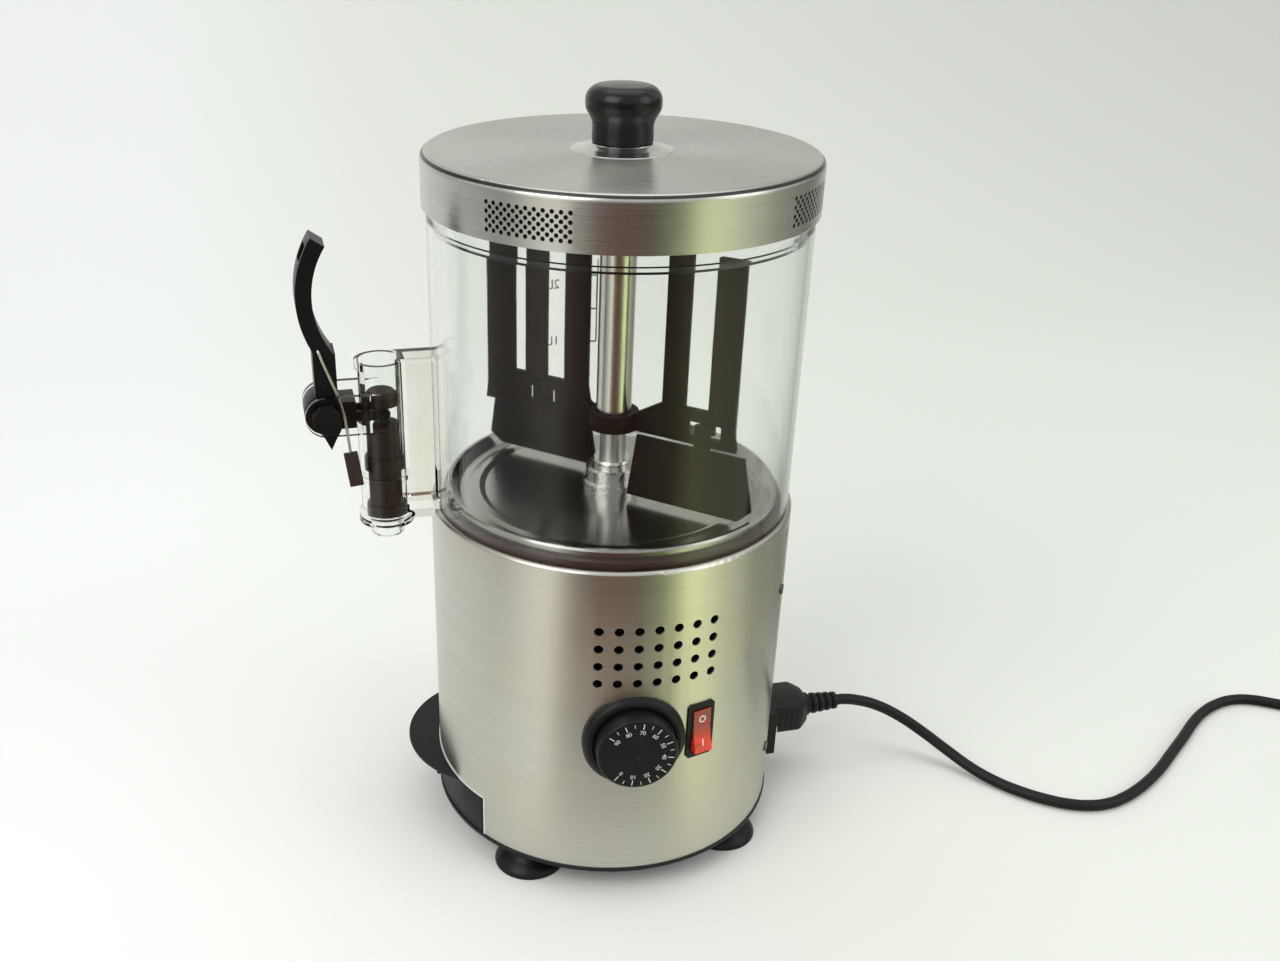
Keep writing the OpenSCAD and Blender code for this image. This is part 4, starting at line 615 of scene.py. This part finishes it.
class DISPENSER_OT_stage(bpy.types.Operator):
    """Sets up the camera, the floor, the backdrop and the light"""

    bl_idname = "dispenser.stage"
    bl_label = "Stage"

    # What stands round the table, by its direction in degrees: a dim wall on the left, a pale one beside
    # the camera, the dark camera side, a bright yellow-green window, a grey corner and the backdrop
    room = (
        (-180, (0.44, 0.44, 0.42)),
        (-172, (0.33, 0.33, 0.31)),
        (-162, (0.43, 0.42, 0.40)),
        (-150, (0.76, 0.74, 0.68)),
        (-139, (1.00, 0.97, 0.90)),
        (-129, (0.38, 0.34, 0.28)),
        (-120, (0.14, 0.11, 0.085)),
        (-112, (0.14, 0.045, 0.028)),
        (-96, (0.13, 0.045, 0.028)),
        (-88, (0.09, 0.08, 0.04)),
        (-72, (0.29, 0.32, 0.15)),
        (-58, (1.24, 1.32, 0.73)),
        (-34, (0.66, 0.69, 0.46)),
        (-10, (0.42, 0.43, 0.34)),
        (22, (0.25, 0.27, 0.24)),
        (50, (0.80, 0.82, 0.77)),
        (100, (0.90, 0.90, 0.88)),
        (135, (0.88, 0.88, 0.87)),
        (158, (0.72, 0.72, 0.70)),
        (180, (0.44, 0.44, 0.42)),
    )

    def execute(self, context):
        chosen = context.scene.dispenser_stage
        self.camera(context, chosen)
        self.backdrop(chosen)
        self.lamps(chosen)
        self.world(context)
        context.scene.view_settings.view_transform = "Standard"
        return {"FINISHED"}

    def camera(self, context, chosen):
        fresh()
        bpy.ops.object.camera_add()
        camera = started("camera")
        forward = Vector((0.2124, 0.8540, -0.4750)).normalized()
        level = forward.cross(Vector((0, 0, 1))).normalized()
        upright = level.cross(forward)
        roll = 0.018
        right = level * math.cos(roll) + upright * math.sin(roll)
        up = upright * math.cos(roll) - level * math.sin(roll)
        turn = Matrix((right, up, -forward)).transposed().to_4x4()
        camera.matrix_world = Matrix.Translation((-0.17403, -0.61503, 0.49165)) @ turn
        camera.data.sensor_width = 36
        camera.data.lens = chosen.lens
        camera.data.shift_x = 0.0541
        camera.data.shift_y = 0.0661
        camera.data.clip_start = 0.01
        context.scene.camera = camera

    def backdrop(self, chosen):
        fresh()
        bpy.ops.mesh.primitive_plane_add(size=1.0, location=(0, -0.6, 0))
        sweep = started("backdrop")
        sweep.scale = (7.0, 5.2, 1)
        bpy.ops.object.transform_apply(location=True, scale=True)
        editing()
        pick("edges", lambda e: all(v.co.y > 1.9 for v in e.verts))
        extruded((0, 0, 3.0))
        pick("edges", lambda e: all(v.co.y > 1.9 and v.co.z < 0.1 for v in e.verts))
        bpy.ops.mesh.bevel(offset=1.2, segments=16, affect="EDGES")
        bpy.ops.object.mode_set(mode="OBJECT")
        bpy.ops.object.shade_smooth_by_angle(angle=math.radians(40))
        p = Paint("backdrop", Roughness=0.75, Specular_IOR_Level=0.15)
        here = p.place()
        x, y, z = p.parts(here)
        # Painted shade: the floor is painted darker and more olive to the right and towards the back, for the
        # light that falls from the left.
        far = (y + z * 0.8).over(0.3, 2.6)
        shaded_floor = tuple(c * f for c, f in zip(chosen.floor, (0.90, 0.91, 0.87)))
        tone = p.mix(chosen.floor, shaded_floor, x.over(-0.3, 0.15))
        tone = p.mix(tone, shade(shaded_floor, 0.92), far * x.over(-0.6, 1.4))
        away = (x * x + y * y) ** 0.5
        room = self.surroundings(p, x, y)
        paper = (1 - (x / away).over(-0.9, -0.6)) * (1 - away.over(0.35, 0.7)) * 0.7
        shown = self.seen_in_metal(p) * away.over(0.08, 0.36) * (1 - paper)
        p.set("Base Color", p.mix(tone, room, shown))
        sweep.data.materials.append(p.material)

    def surroundings(self, p, x, y):
        """The room's tone by direction from the dispenser, as bright metal shows it."""
        turn = p.node("ShaderNodeMath", {"operation": "ARCTAN2"}, {0: y, 1: x}) * (1 / math.tau) + 0.5
        stops = [(azimuth / 360 + 0.5, tone) for azimuth, tone in self.room]
        return p.node("ShaderNodeValToRGB", {"stops": stops}, {0: turn})

    def seen_in_metal(self, p):
        """1 for rays that come off a glossy surface, also on through clear plastic, and 0 for others."""
        bounced = p.node("ShaderNodeLightPath", out="Glossy Depth")
        dull = p.node("ShaderNodeLightPath", out="Is Diffuse Ray")
        return bounced.over(0.2, 0.8) * (1 - dull)

    def lamp(self, name, place, aim, size, power, colour):
        fresh()
        bpy.ops.object.light_add(type="AREA", location=place)
        lamp = started(name)
        lamp.data.shape = "RECTANGLE"
        lamp.data.size, lamp.data.size_y = size
        lamp.data.energy = power
        lamp.data.color = colour
        lamp.rotation_euler = (Vector(aim) - Vector(place)).to_track_quat("-Z", "Y").to_euler()

    def lamps(self, chosen):
        self.lamp("key", (-1.3, -0.9, 1.5), (0, 0, 0.2), (1.3, 1.3), chosen.key, (1.0, 0.99, 0.96))
        self.lamp("fill", (1.5, -1.0, 1.2), (0, 0, 0.2), (1.0, 1.4), chosen.fill, (0.97, 0.99, 1.0))
        self.lamp("top", (0.1, 0.3, 1.9), (0, 0, 0.2), (1.6, 1.2), chosen.fill, (1.0, 1.0, 0.99))

    def world(self, context):
        world = bpy.data.worlds.new("studio")
        context.scene.world = world
        world.use_nodes = True
        p = Paint("studio", tree=world.node_tree)
        lit = world.node_tree.nodes["Background"]
        here = p.node("ShaderNodeTexCoord", out="Generated")
        x, y, z = p.parts(here)
        tone = p.mix((0.50, 0.49, 0.46), (0.98, 1.0, 0.98), z.over(-0.2, 0.5))
        room = p.mix(self.surroundings(p, x, y), (1.2, 1.22, 1.2), z.over(0.05, 0.3))
        p.put(lit.inputs[0], p.mix(tone, room, self.seen_in_metal(p)))
        lit.inputs[1].default_value = 0.66


class DISPENSER_OT_lead(bpy.types.Operator):
    """Lays the mains lead from its connector along the table to its coil"""

    bl_idname = "dispenser.lead"
    bl_label = "Mains lead"

    # Along the table, in millimetres; from the tenth point the lead lies on it
    route = [(144, 0, 39), (150, 0, 38.9), (160, 0, 36.5), (172, -1, 32), (186, -6, 25), (199, -15, 17),
             (210, -26, 10), (220, -40, 5.2), (230, -54), (239, -65), (249, -74), (260, -81), (272, -85),
             (284, -85.5), (296, -82.5), (308, -77.5), (320, -71), (334, -62), (346, -53), (358, -44),
             (370, -35), (384, -24), (398, -15), (412, -9), (426, -6.5), (438, -9), (450, -16), (462, -24),
             (474, -31), (488, -37), (503, -41), (518, -43), (530, -43)]
    turns, pitch, rise, tail, plug_z = 2, 8.0, 7.2, 44.0, 19.0

    def coil(self, radius, low):
        """The unseen rest: two layers, inward on the table and outward on top, then a tail."""
        centre = (536.5, self.route[-1][1] - radius)
        loops = 2 * self.turns + 0.5
        points = []
        for i in range(int(loops * 24) + 1):
            t = i / 24
            if t < self.turns:
                r = radius - self.pitch * t
            elif t < self.turns + 0.5:
                r = radius - self.pitch * self.turns
            else:
                r = radius - self.pitch * (loops - t)
            a = math.radians(90 - 360 * t)
            z = low + self.rise * min(1, max(0, 2 * (t - self.turns)))
            points.append((centre[0] + r * math.cos(a), centre[1] + r * math.sin(a), z))
        x, y, z = points[-1]
        for i in range(1, 9):
            k = i / 8
            s = min(1, k / 0.8)
            points.append((x - self.tail * k, y, z + (self.plug_z - z) * s * s * (3 - 2 * s)))
        return points

    def execute(self, context):
        chosen = context.scene.dispenser_lead
        low = chosen.diameter / MM / 2 + 0.15
        points = [p if len(p) == 3 else (*p, low) for p in self.route]
        points += self.coil(chosen.coil_radius / MM, low)
        lead = traced("mains_lead", [mm(*place) for place in points], chosen.diameter / 2, 4)
        plastics = context.scene.dispenser_plastics
        pvc = moulded("lead_pvc", shade(plastics.black, 1.3), 0.42, 0.0008, 0.00002, 0.2, 0.25)
        done(lead, "base", pvc)
        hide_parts("mains_cord", "cord_coil")
        connector = self.connector(pvc)
        plug = self.plug(points[-1], pvc)
        finish_for(["plug_pins"], plain_steel("pin_nickel", (0.66, 0.63, 0.56), 0.25))
        return {"FINISHED"}

    def relief(self, name, start, length, ribs, big, small, collar):
        """A ribbed, tapering strain relief along +X."""
        profile = [(collar, 0), (collar, 1.6), (collar - 0.8, 2.4)]
        pitch = (length - 3) / ribs
        for i in range(ribs):
            z = 3 + pitch * i
            outer = big + (small - big) * i / ribs
            profile += [(outer - 1.3, z), (outer - 1.3, z + pitch * 0.30), (outer - 0.2, z + pitch * 0.36),
                        (outer, z + pitch * 0.44), (outer, z + pitch * 0.86), (outer - 0.2, z + pitch * 0.94)]
        profile += [(small - 1.5, length), (3.3, length)]
        piece = turned(name, profile, 40)
        return moved(piece, Matrix.Translation(mm(*start)) @ Matrix.Rotation(math.radians(90), 4, "Y"))

    def connector(self, pvc):
        front = block("front", (77, -12.3, INLET_Z - 8.3), (99, 12.3, INLET_Z + 8.3), 1.2)
        grip = block("grip", (97.3, -13.5, INLET_Z - 9.5), (117.5, 13.5, INLET_Z + 9.5))
        fresh()
        grip.select_set(True)
        bpy.context.view_layer.objects.active = grip
        editing()
        pick("faces", lambda f: f.normal.x > 0.9)
        extruded((0.005, 0, 0))
        bpy.ops.transform.resize(value=(1, 0.66, 0.86), center_override=tuple(mm(122.5, 0, INLET_Z)))
        extruded((0.0022, 0, 0))
        bpy.ops.transform.resize(value=(1, 0.78, 0.9), center_override=tuple(mm(124.7, 0, INLET_Z)))
        bpy.ops.object.mode_set(mode="OBJECT")
        rounded(grip, 2.6, 4)
        ridges = [block(f"ridge_{s}_{i}", (101 + 3.4 * i, s * 13.1 - 0.7, INLET_Z - 5.5),
                        (102.6 + 3.4 * i, s * 13.1 + 0.7, INLET_Z + 5.5), 0.4, 2)
                  for s in (-1, 1) for i in range(4)]
        relief = self.relief("relief", (124, 0, INLET_Z), 20.5, 4, 6.2, 4.9, 7.0)
        piece = joined([grip, front, relief, *ridges], "lead_connector")
        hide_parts("mains_connector")
        return done(piece, "base", pvc)

    def plug(self, start, pvc):
        profile = [(3.3, 0)]
        for i in range(4):
            z, groove, rib = 1.5 + 2.8 * i, 4.1 + 0.3 * i, 5.2 + 0.3 * i
            profile += [(groove, z), (groove, z + 0.8), (rib, z + 1.0), (rib, z + 2.2)]
        profile += [(6.2, 13), (9.5, 14.6), (11.6, 16.4), (13.2, 19.0), (15.4, 21.4), (17.8, 23.2)]
        profile += [(18.4, 24.4), (18.6, 25.6), (18.6, 40.0), (18.3, 41.2), (17.4, 42.0)]
        piece = turned("lead_plug", profile, 64)
        place = Matrix.Translation(mm(*start)) @ Matrix.Rotation(math.radians(-90), 4, "Y")
        moved(piece, place)
        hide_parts("mains_plug")
        return done(piece, "base", pvc)


class DISPENSER_OT_feet(bpy.types.Operator):
    """Makes the four rubber suction feet"""

    bl_idname = "dispenser.feet"
    bl_label = "Feet"

    def execute(self, context):
        rubber = moulded("foot_rubber", shade(context.scene.dispenser_plastics.black, 0.9), 0.36,
                         0.0012, 0.00003, 0.2, 0.35)
        profile = [(2.4, 4.4), (7.4, 3.4), (14.0, 1.7), (17.0, 0.1), (18.4, 0.0), (18.9, 0.4), (18.9, 1.0)]
        profile += [(18.5, 2.0), (17.6, 3.3), (15.9, 4.8), (13.6, 6.2), (11.8, 7.6), (10.8, 9.0)]
        profile += [(10.3, 10.5), (10.0, 12.4), (9.6, 13.4), (8.8, 13.9), (2.4, 13.95)]
        first = turned("foot", profile, 56)
        feet = [copied(first, f"foot_{i}", side(a) @ Matrix.Translation(mm(FOOT_CIRCLE, 0, 0)))
                for i, a in enumerate(FOOT_AZIMUTHS)]
        bpy.data.objects.remove(first)
        piece = joined(feet, "rubber_feet")
        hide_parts("suction_feet")
        done(piece, "base", rubber)
        return {"FINISHED"}


class DISPENSER_OT_lid_knob(bpy.types.Operator):
    """Turns the lid's knob"""

    bl_idname = "dispenser.lid_knob"
    bl_label = "Lid knob"

    def execute(self, context):
        gloss = moulded("knob_black", context.scene.dispenser_plastics.black, 0.26, 0.0011, 0.00003,
                        0.10, 0.18, 0.15)
        profile = [(2.1, 12.0), (2.1, 0.0), (13.7, 0.0), (14.2, 0.3), (14.35, 1.2), (14.3, 4.0), (14.2, 6.5)]
        profile += [(14.3, 8.2), (14.6, 9.6), (15.2, 11.0), (16.0, 12.4), (16.9, 13.8), (17.5, 15.2)]
        profile += [(17.8, 16.8), (17.8, 18.2)]
        profile += arc(10.8, 18.4, 7.0, 8, 78, 10)
        profile += [(9.6, 25.38), (6.4, 25.55), (3.2, 25.68), (0.6, 25.7)]
        piece = turned("lid_knob_moulding", profile, 72)
        moved(piece, Matrix.Translation(mm(0, 0, FERRULE_TOP)))
        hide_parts("lid_knob")
        done(piece, "lid", gloss)
        return {"FINISHED"}


class DISPENSER_OT_dial(bpy.types.Operator):
    """Makes the thermostat's dial with its figures and marks"""

    bl_idname = "dispenser.dial"
    bl_label = "Dial"

    # The turn of the figure 0 and between marks, in degrees, and the figures' circle, in millimetres
    first_turn, mark_turn, figure_circle = 232, 15, 13.2

    def execute(self, context):
        chosen = context.scene.dispenser_controls
        black = moulded("dial_black", shade(context.scene.dispenser_plastics.black, 1.1), 0.40, 0.0007,
                        0.00003, 0.25, 0.2)
        finish_for(["thermostat_bezel"], black)
        softened(["thermostat_bezel"], 0.35, 2, 25)
        place = side(DIAL_AZIMUTH) @ Matrix.Translation(mm(0, 0, CONTROL_Z)) @ Matrix.Rotation(
            math.radians(90), 4, "Y")
        profile = [(3.05, DIAL_FACE - 3.5), (3.05, 95.6), (19.6, 95.6), (20.3, 96.2)]
        profile += [(20.3, DIAL_FACE - 1.9)]
        profile += arc(18.5, DIAL_FACE - 1.8, 1.8, 0, 90, 6)[1:]
        profile += [(17.9, DIAL_FACE), (0.6, DIAL_FACE)]
        knob = turned("dial_moulding", profile, 96)
        moved(knob, place)
        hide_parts("thermostat_knob")
        done(knob, "dial", black)
        ink = printed("dial_ink", chosen.marks)
        done(self.marks(chosen, place), "dial", ink)
        return {"FINISHED"}

    def marks(self, chosen, place):
        """Ticks every five and figures every ten, from 0 low on the left to 90 above it."""
        pieces = []
        front = DIAL_FACE + 0.02
        flat = Matrix.Translation(mm(0, 0, front)) @ Matrix.Rotation(math.radians(90), 4, "Z")
        for i in range(19):
            long = i % 2 == 0
            a = math.radians(self.first_turn + self.mark_turn * i)
            low, high = (15.2, 18.4) if long else (16.2, 18.2)
            half = 0.24 if long else 0.17
            tick = block(f"tick_{i}", (low, -half, 0), (high, half, 0.05))
            moved(tick, flat @ Matrix.Rotation(a, 4, "Z"))
            pieces.append(tick)
            if long:
                figure = figures(str(10 * (i // 2)), chosen.figure_height * 1.35 / MM)
                out = Matrix.Translation(mm(self.figure_circle, 0, 0))
                turn = Matrix.Rotation(a, 4, "Z") @ out @ Matrix.Rotation(math.radians(-90), 4, "Z")
                moved(figure, flat @ turn)
                pieces.append(figure)
        piece = joined(pieces, "dial_marks")
        return moved(piece, place)


class DISPENSER_OT_switch(bpy.types.Operator):
    """Makes the lit rocker switch with its O and I marks"""

    bl_idname = "dispenser.switch"
    bl_label = "Switch"

    def execute(self, context):
        chosen = context.scene.dispenser_controls
        black = moulded("switch_black", context.scene.dispenser_plastics.black, 0.42)
        finish_for(["switch_frame"], black)
        softened(["switch_frame"], 0.25)
        finish_for(["switch_rocker"], glowing_red("rocker_red", chosen.rocker))
        softened(["switch_rocker"], 0.45, 3)
        ink = printed("switch_ink", (0.85, 0.80, 0.74))
        place = side(SWITCH_AZIMUTH) @ Matrix.Translation(mm(ROCKER_X, 0, CONTROL_Z)) @ Matrix.Rotation(
            math.radians(-ROCKER_TILT), 4, "Y")
        rise, reach = 1.4, 11.9
        slope = math.atan2(rise, reach)
        ring = turned("mark_o", [(1.35, 0), (1.35, 0.06), (2.0, 0.06), (2.0, 0)], 32, closed=False)
        bar = block("mark_i", (-1.9, -0.33, 0), (1.9, 0.33, 0.06))
        for mark, z, tilt in ((ring, 6.6, -slope), (bar, -6.6, slope)):
            depth = 3 + rise * abs(z) / reach + 0.03
            turn = Matrix.Translation(mm(depth, 0, z)) @ Matrix.Rotation(-tilt, 4, "Y") @ Matrix.Rotation(
                math.radians(90), 4, "Y")
            moved(mark, place @ turn)
        done(joined([ring, bar], "rocker_marks"), "rocker", ink)
        return {"FINISHED"}


class DISPENSER_OT_tap(bpy.types.Operator):
    """Finishes the tap: its clear body, lever, pin, plunger, wire spring and sleeve"""

    bl_idname = "dispenser.tap"
    bl_label = "Tap"

    def execute(self, context):
        chosen = context.scene.dispenser_plastics
        clear = clear_plastic("tap_clear", chosen.clear, 0.02, 0.04, 0.112)
        finish_for(["tap_body"], clear)
        cocoa = moulded("plunger_cocoa", shade(chosen.cocoa, 1.6), 0.55, 0.0009, 0.00006, 0.35, 0.0,
                        0.0, (0.075, 0.038, 0.022))
        finish_for(["plunger", "spring_sleeve"], cocoa)
        softened(["plunger", "spring_sleeve"], 0.4)
        black = moulded("lever_black", chosen.black, 0.38, 0.0007, 0.00003, 0.25, 0.2)
        finish_for(["tap_lever", "lever_pin"], black)
        softened(["tap_lever"], 0.9, 3)
        softened(["lever_pin"], 0.5, 2)
        self.wire(context)
        return {"FINISHED"}

    def wire(self, context):
        """The bent wire that pulls the lever back, hooked in it and held in the sleeve."""
        points = [(146.5, 3, 281.1), (146.5, 7.6, 281.1), (146.2, WIRE_Y - 0.2, 280.6)]
        points += [(x, WIRE_Y, z) for x, z in (
            (144.8, 276.2), (141.0, 265.2), (138.4, 257.5), (136.8, 250.6), (136.0, 246.6),
            (135.4, 240.1), (134.8, 232.0), (134.3, 224.1))]
        wire = meshed(traced("spring_wire", [mm(*place) for place in points], 0.75 * MM))
        moved(wire, side(-90))
        wire.data.materials.clear()
        wire.data.materials.append(plain_steel("wire_steel", (0.64, 0.62, 0.57), 0.28))
        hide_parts("return_spring")
        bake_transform(wire)


class DISPENSER_OT_tank(bpy.types.Operator):
    """Finishes the clear tank and prints its graduations"""

    bl_idname = "dispenser.tank"
    bl_label = "Tank"

    def execute(self, context):
        chosen = context.scene.dispenser_plastics
        finish_for(["tank"], clear_plastic("tank_clear", chosen.clear, 0.03, 0.06))
        ink = printed("tank_ink", (0.05, 0.05, 0.055))
        done(self.graduations(), "tank_unit", ink)
        return {"FINISHED"}

    def graduations(self):
        """The litre marks on the back wall, which read from behind: a scale bar, ticks and figures."""
        pieces = [block("scale_bar", (0, -0.4, SCALE_LOW), (0.05, 0.4, SCALE_LOW + 2.5 * SCALE_STEP))]
        pieces += [block(f"scale_tick_{i}", (0, 0, SCALE_LOW + SCALE_STEP * i - 0.4),
                         (0.05, 3.6, SCALE_LOW + SCALE_STEP * i + 0.4)) for i in range(3)]
        for piece in pieces:
            moved(piece, side(SCALE_AZIMUTH) @ Matrix.Translation(mm(TANK_R + 0.02, 0, 0)))
        upright = Matrix.Rotation(math.radians(90), 4, "Z") @ Matrix.Rotation(math.radians(90), 4, "X")
        for litres in (1, 2):
            z = SCALE_LOW + 1.5 + 2 * SCALE_STEP * (litres - 1) * 0.85
            figure = figures(f"{litres}L", 7.4)
            turn = side(SCALE_AZIMUTH + 15.8) @ Matrix.Translation(mm(TANK_R + 0.03, 0, z)) @ upright
            pieces.append(moved(figure, turn))
        return joined(pieces, "tank_graduations")


class DISPENSER_OT_stirrer(bpy.types.Operator):
    """Finishes the stirrer: its frame, scraper blades and chrome tube"""

    bl_idname = "dispenser.stirrer"
    bl_label = "Stirrer"

    def execute(self, context):
        chosen = context.scene.dispenser_plastics
        cocoa = moulded("stirrer_cocoa", chosen.cocoa, 0.46, 0.0009, 0.00005, 0.12, 0.1, 0.0,
                        (0.040, 0.026, 0.024), shine=0.07)
        finish_for(["agitator_frame", "scraper_blades"], cocoa)
        softened(["agitator_frame", "scraper_blades"], 0.45, 2)
        tube = plain_steel("tube_chrome", (0.66, 0.65, 0.60), 0.22, wear=0.1)
        finish_for(["agitator_tube", "drive_shaft"], tube)
        return {"FINISHED"}


class DISPENSER_OT_steelwork(bpy.types.Operator):
    """Finishes the steel of the body, the lid and the heating plate, with the lid's seal and a near-black
    sheet of painted shade behind the lid's holes
    """

    bl_idname = "dispenser.steelwork"
    bl_label = "Steelwork"

    def execute(self, context):
        steel = context.scene.dispenser_steel
        body = brushed_steel("body_steel", steel.colour, steel.roughness, steel.grain)
        finish_for(["body_shell"], body)
        panel = brushed_steel("panel_steel", steel.colour, steel.roughness, steel.grain, aniso=0.2)
        finish_for(["rear_panel"], panel)
        rim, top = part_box("lid_shell")[1].x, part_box("lid_shell")[1].z
        # Up to this radius and height the lid's inner faces get painted shade, near black.
        within = (rim - 0.6 * LID_WALL * MM, top - 0.6 * LID_WALL * MM)
        finish_for(["lid_shell"], brushed_steel("lid_steel", steel.lid_colour, steel.roughness - 0.02,
                                                steel.grain, True, 0.10, inside=within))
        ring = clear_plastic("ring_clear", context.scene.dispenser_plastics.clear, 0.03, 0.06)
        finish_for(["lid_ring"], ring)
        plate = brushed_steel("plate_steel", shade(steel.lid_colour, 0.8), 0.24, 0.0016, True, 0.35)
        finish_for(["heating_plate"], plate)
        polished = plain_steel("ferrule_chrome", (0.72, 0.72, 0.70), 0.16)
        finish_for(["lid_ferrule"], polished)
        # Painted shade: a near-black sheet behind the lid's holes stands for the shade inside the lid.
        mesh = moulded("gauze_dark", (0.012, 0.012, 0.012), 0.6)
        done(self.gauze(rim / MM, top / MM), "lid", mesh)
        # Painted highlight: the hem's steel is painted far paler than the body's, for the bright line along
        # the cut-out's edge.
        done(self.hem(), "base", plain_steel("hem_steel", (0.92, 0.92, 0.90), 0.3))
        return {"FINISHED"}

    def gauze(self, rim, top):
        """A near-black sheet inside the lid's skirt, behind its holes: painted shade, so the holes read dark.
        """
        outer, inner = rim - LID_WALL - 0.1, rim - LID_WALL - 0.35
        profile = [(outer, top - 21.7), (outer, top - 6.2), (inner, top - 6.2), (inner, top - 21.7)]
        return turned("lid_gauze", profile, 96)

    def hem(self):
        """The rolled edge of the body's steel round the cut-out for the front bracket, in steel painted far
        paler than the body's as a painted highlight.
        """
        first, last = BRACKET_AZIMUTH - BRACKET_HALF, BRACKET_AZIMUTH + BRACKET_HALF
        low, high = mm(BODY_R, 0, SHELL_Z + 0.5), mm(BODY_R, 0, BRACKET_TOP)
        steps = 48
        path = [side(first) @ low]
        path += [side(first + (last - first) * i / steps) @ high for i in range(steps + 1)]
        path += [side(last) @ low]
        return meshed(traced("body_hem", path, 0.6 * MM, kind="POLY"))


class DISPENSER_OT_base(bpy.types.Operator):
    """Finishes the base plate, the front bracket, the seat ring and the gasket"""

    bl_idname = "dispenser.base"
    bl_label = "Base"

    def execute(self, context):
        chosen = context.scene.dispenser_plastics
        charcoal = moulded("base_charcoal", chosen.charcoal, 0.48, 0.0008, 0.00005, 0.3, 0.3)
        finish_for(["base_plate", "front_bracket", "seat_ring"], charcoal)
        softened(["front_bracket"], 0.5, 2)
        gasket = moulded("gasket_silicone", chosen.gasket, 0.38, 0.0015, 0.00004, 0.2, 0.0, 0.2)
        finish_for(["plate_gasket"], gasket)
        return {"FINISHED"}


class DISPENSER_OT_works(bpy.types.Operator):
    """Finishes what is inside: the drive, the heater, the thermostat and the wiring"""

    bl_idname = "dispenser.works"
    bl_label = "Works"

    def execute(self, context):
        chosen = context.scene.dispenser_plastics
        zinc = plain_steel("zinc_steel", (0.60, 0.60, 0.58), 0.36)
        finish_for(["tie_rods", "standpipe", "thermostat_spindle", "thermostat_body"], zinc)
        # Painted shade: the chassis plate is painted near black so that the body's holes read dark.
        finish_for(["chassis_plate"], plain_steel("black_steel", (0.06, 0.06, 0.06), 0.6))
        screws = plain_steel("screw_steel", (0.62, 0.61, 0.58), 0.28)
        finish_for(["foot_screws", "tie_screws", "gearbox_screws", "inlet_screws", "lid_screw",
                    "standpipe_nuts"], screws)
        finish_for(["panel_screws"], plain_steel("dark_steel", (0.16, 0.155, 0.14), 0.4))
        finish_for(["gearbox_case", "motor_can", "heat_spreader"],
                   plain_steel("cast_metal", (0.48, 0.48, 0.48), 0.5, 0.0014))
        finish_for(["motor_rotor"], plain_steel("rotor_steel", (0.35, 0.34, 0.33), 0.45))
        brass = plain_steel("brass", (0.62, 0.46, 0.17), 0.3)
        finish_for(["shaft_bushes", "motor_pinion", "inlet_pins", "thermal_cutout"], brass)
        finish_for(["thermostat_bulb"], plain_steel("copper", (0.66, 0.30, 0.16), 0.32))
        finish_for(["heating_element"], plain_steel("element_sheath", (0.24, 0.22, 0.20), 0.5))
        white = moulded("nylon_white", (0.66, 0.65, 0.60), 0.5)
        finish_for(["output_gear", "terminal_block", "insulation_disc"], white)
        finish_for(["wiring"], moulded("wire_red", (0.35, 0.03, 0.02), 0.45))
        finish_for(["inlet_socket"], moulded("inlet_black", chosen.black, 0.42))
        return {"FINISHED"}


class DISPENSER_PT_panel(bpy.types.Panel):
    """Lists the dispenser's pieces and settings"""

    bl_idname = "DISPENSER_PT_panel"
    bl_label = "Hot chocolate dispenser"
    bl_space_type = "VIEW_3D"
    bl_region_type = "UI"
    bl_category = "Dispenser"

    def draw(self, context):
        for name in groups:
            box = self.layout.box()
            chosen = getattr(context.scene, name)
            for key in chosen.__annotations__:
                box.prop(chosen, key)
        for operator in makers:
            self.layout.operator(operator.bl_idname)


groups = {
    "dispenser_stage": DispenserStage,
    "dispenser_lead": DispenserLead,
    "dispenser_steel": DispenserSteel,
    "dispenser_plastics": DispenserPlastics,
    "dispenser_controls": DispenserControls,
}
makers = (
    DISPENSER_OT_stage,
    DISPENSER_OT_lead,
    DISPENSER_OT_feet,
    DISPENSER_OT_steelwork,
    DISPENSER_OT_base,
    DISPENSER_OT_works,
    DISPENSER_OT_lid_knob,
    DISPENSER_OT_dial,
    DISPENSER_OT_switch,
    DISPENSER_OT_tap,
    DISPENSER_OT_tank,
    DISPENSER_OT_stirrer,
)


def register():
    for made in (*groups.values(), *makers, DISPENSER_PT_panel):
        bpy.utils.register_class(made)
    for name, group in groups.items():
        setattr(bpy.types.Scene, name, bpy.props.PointerProperty(type=group))


def unregister():
    for name in groups:
        delattr(bpy.types.Scene, name)
    for made in reversed((*groups.values(), *makers, DISPENSER_PT_panel)):
        bpy.utils.unregister_class(made)


def main():
    register()
    for made in makers:
        area, name = made.bl_idname.split(".")
        getattr(getattr(bpy.ops, area), name)()


if __name__ == "__main__":
    main()
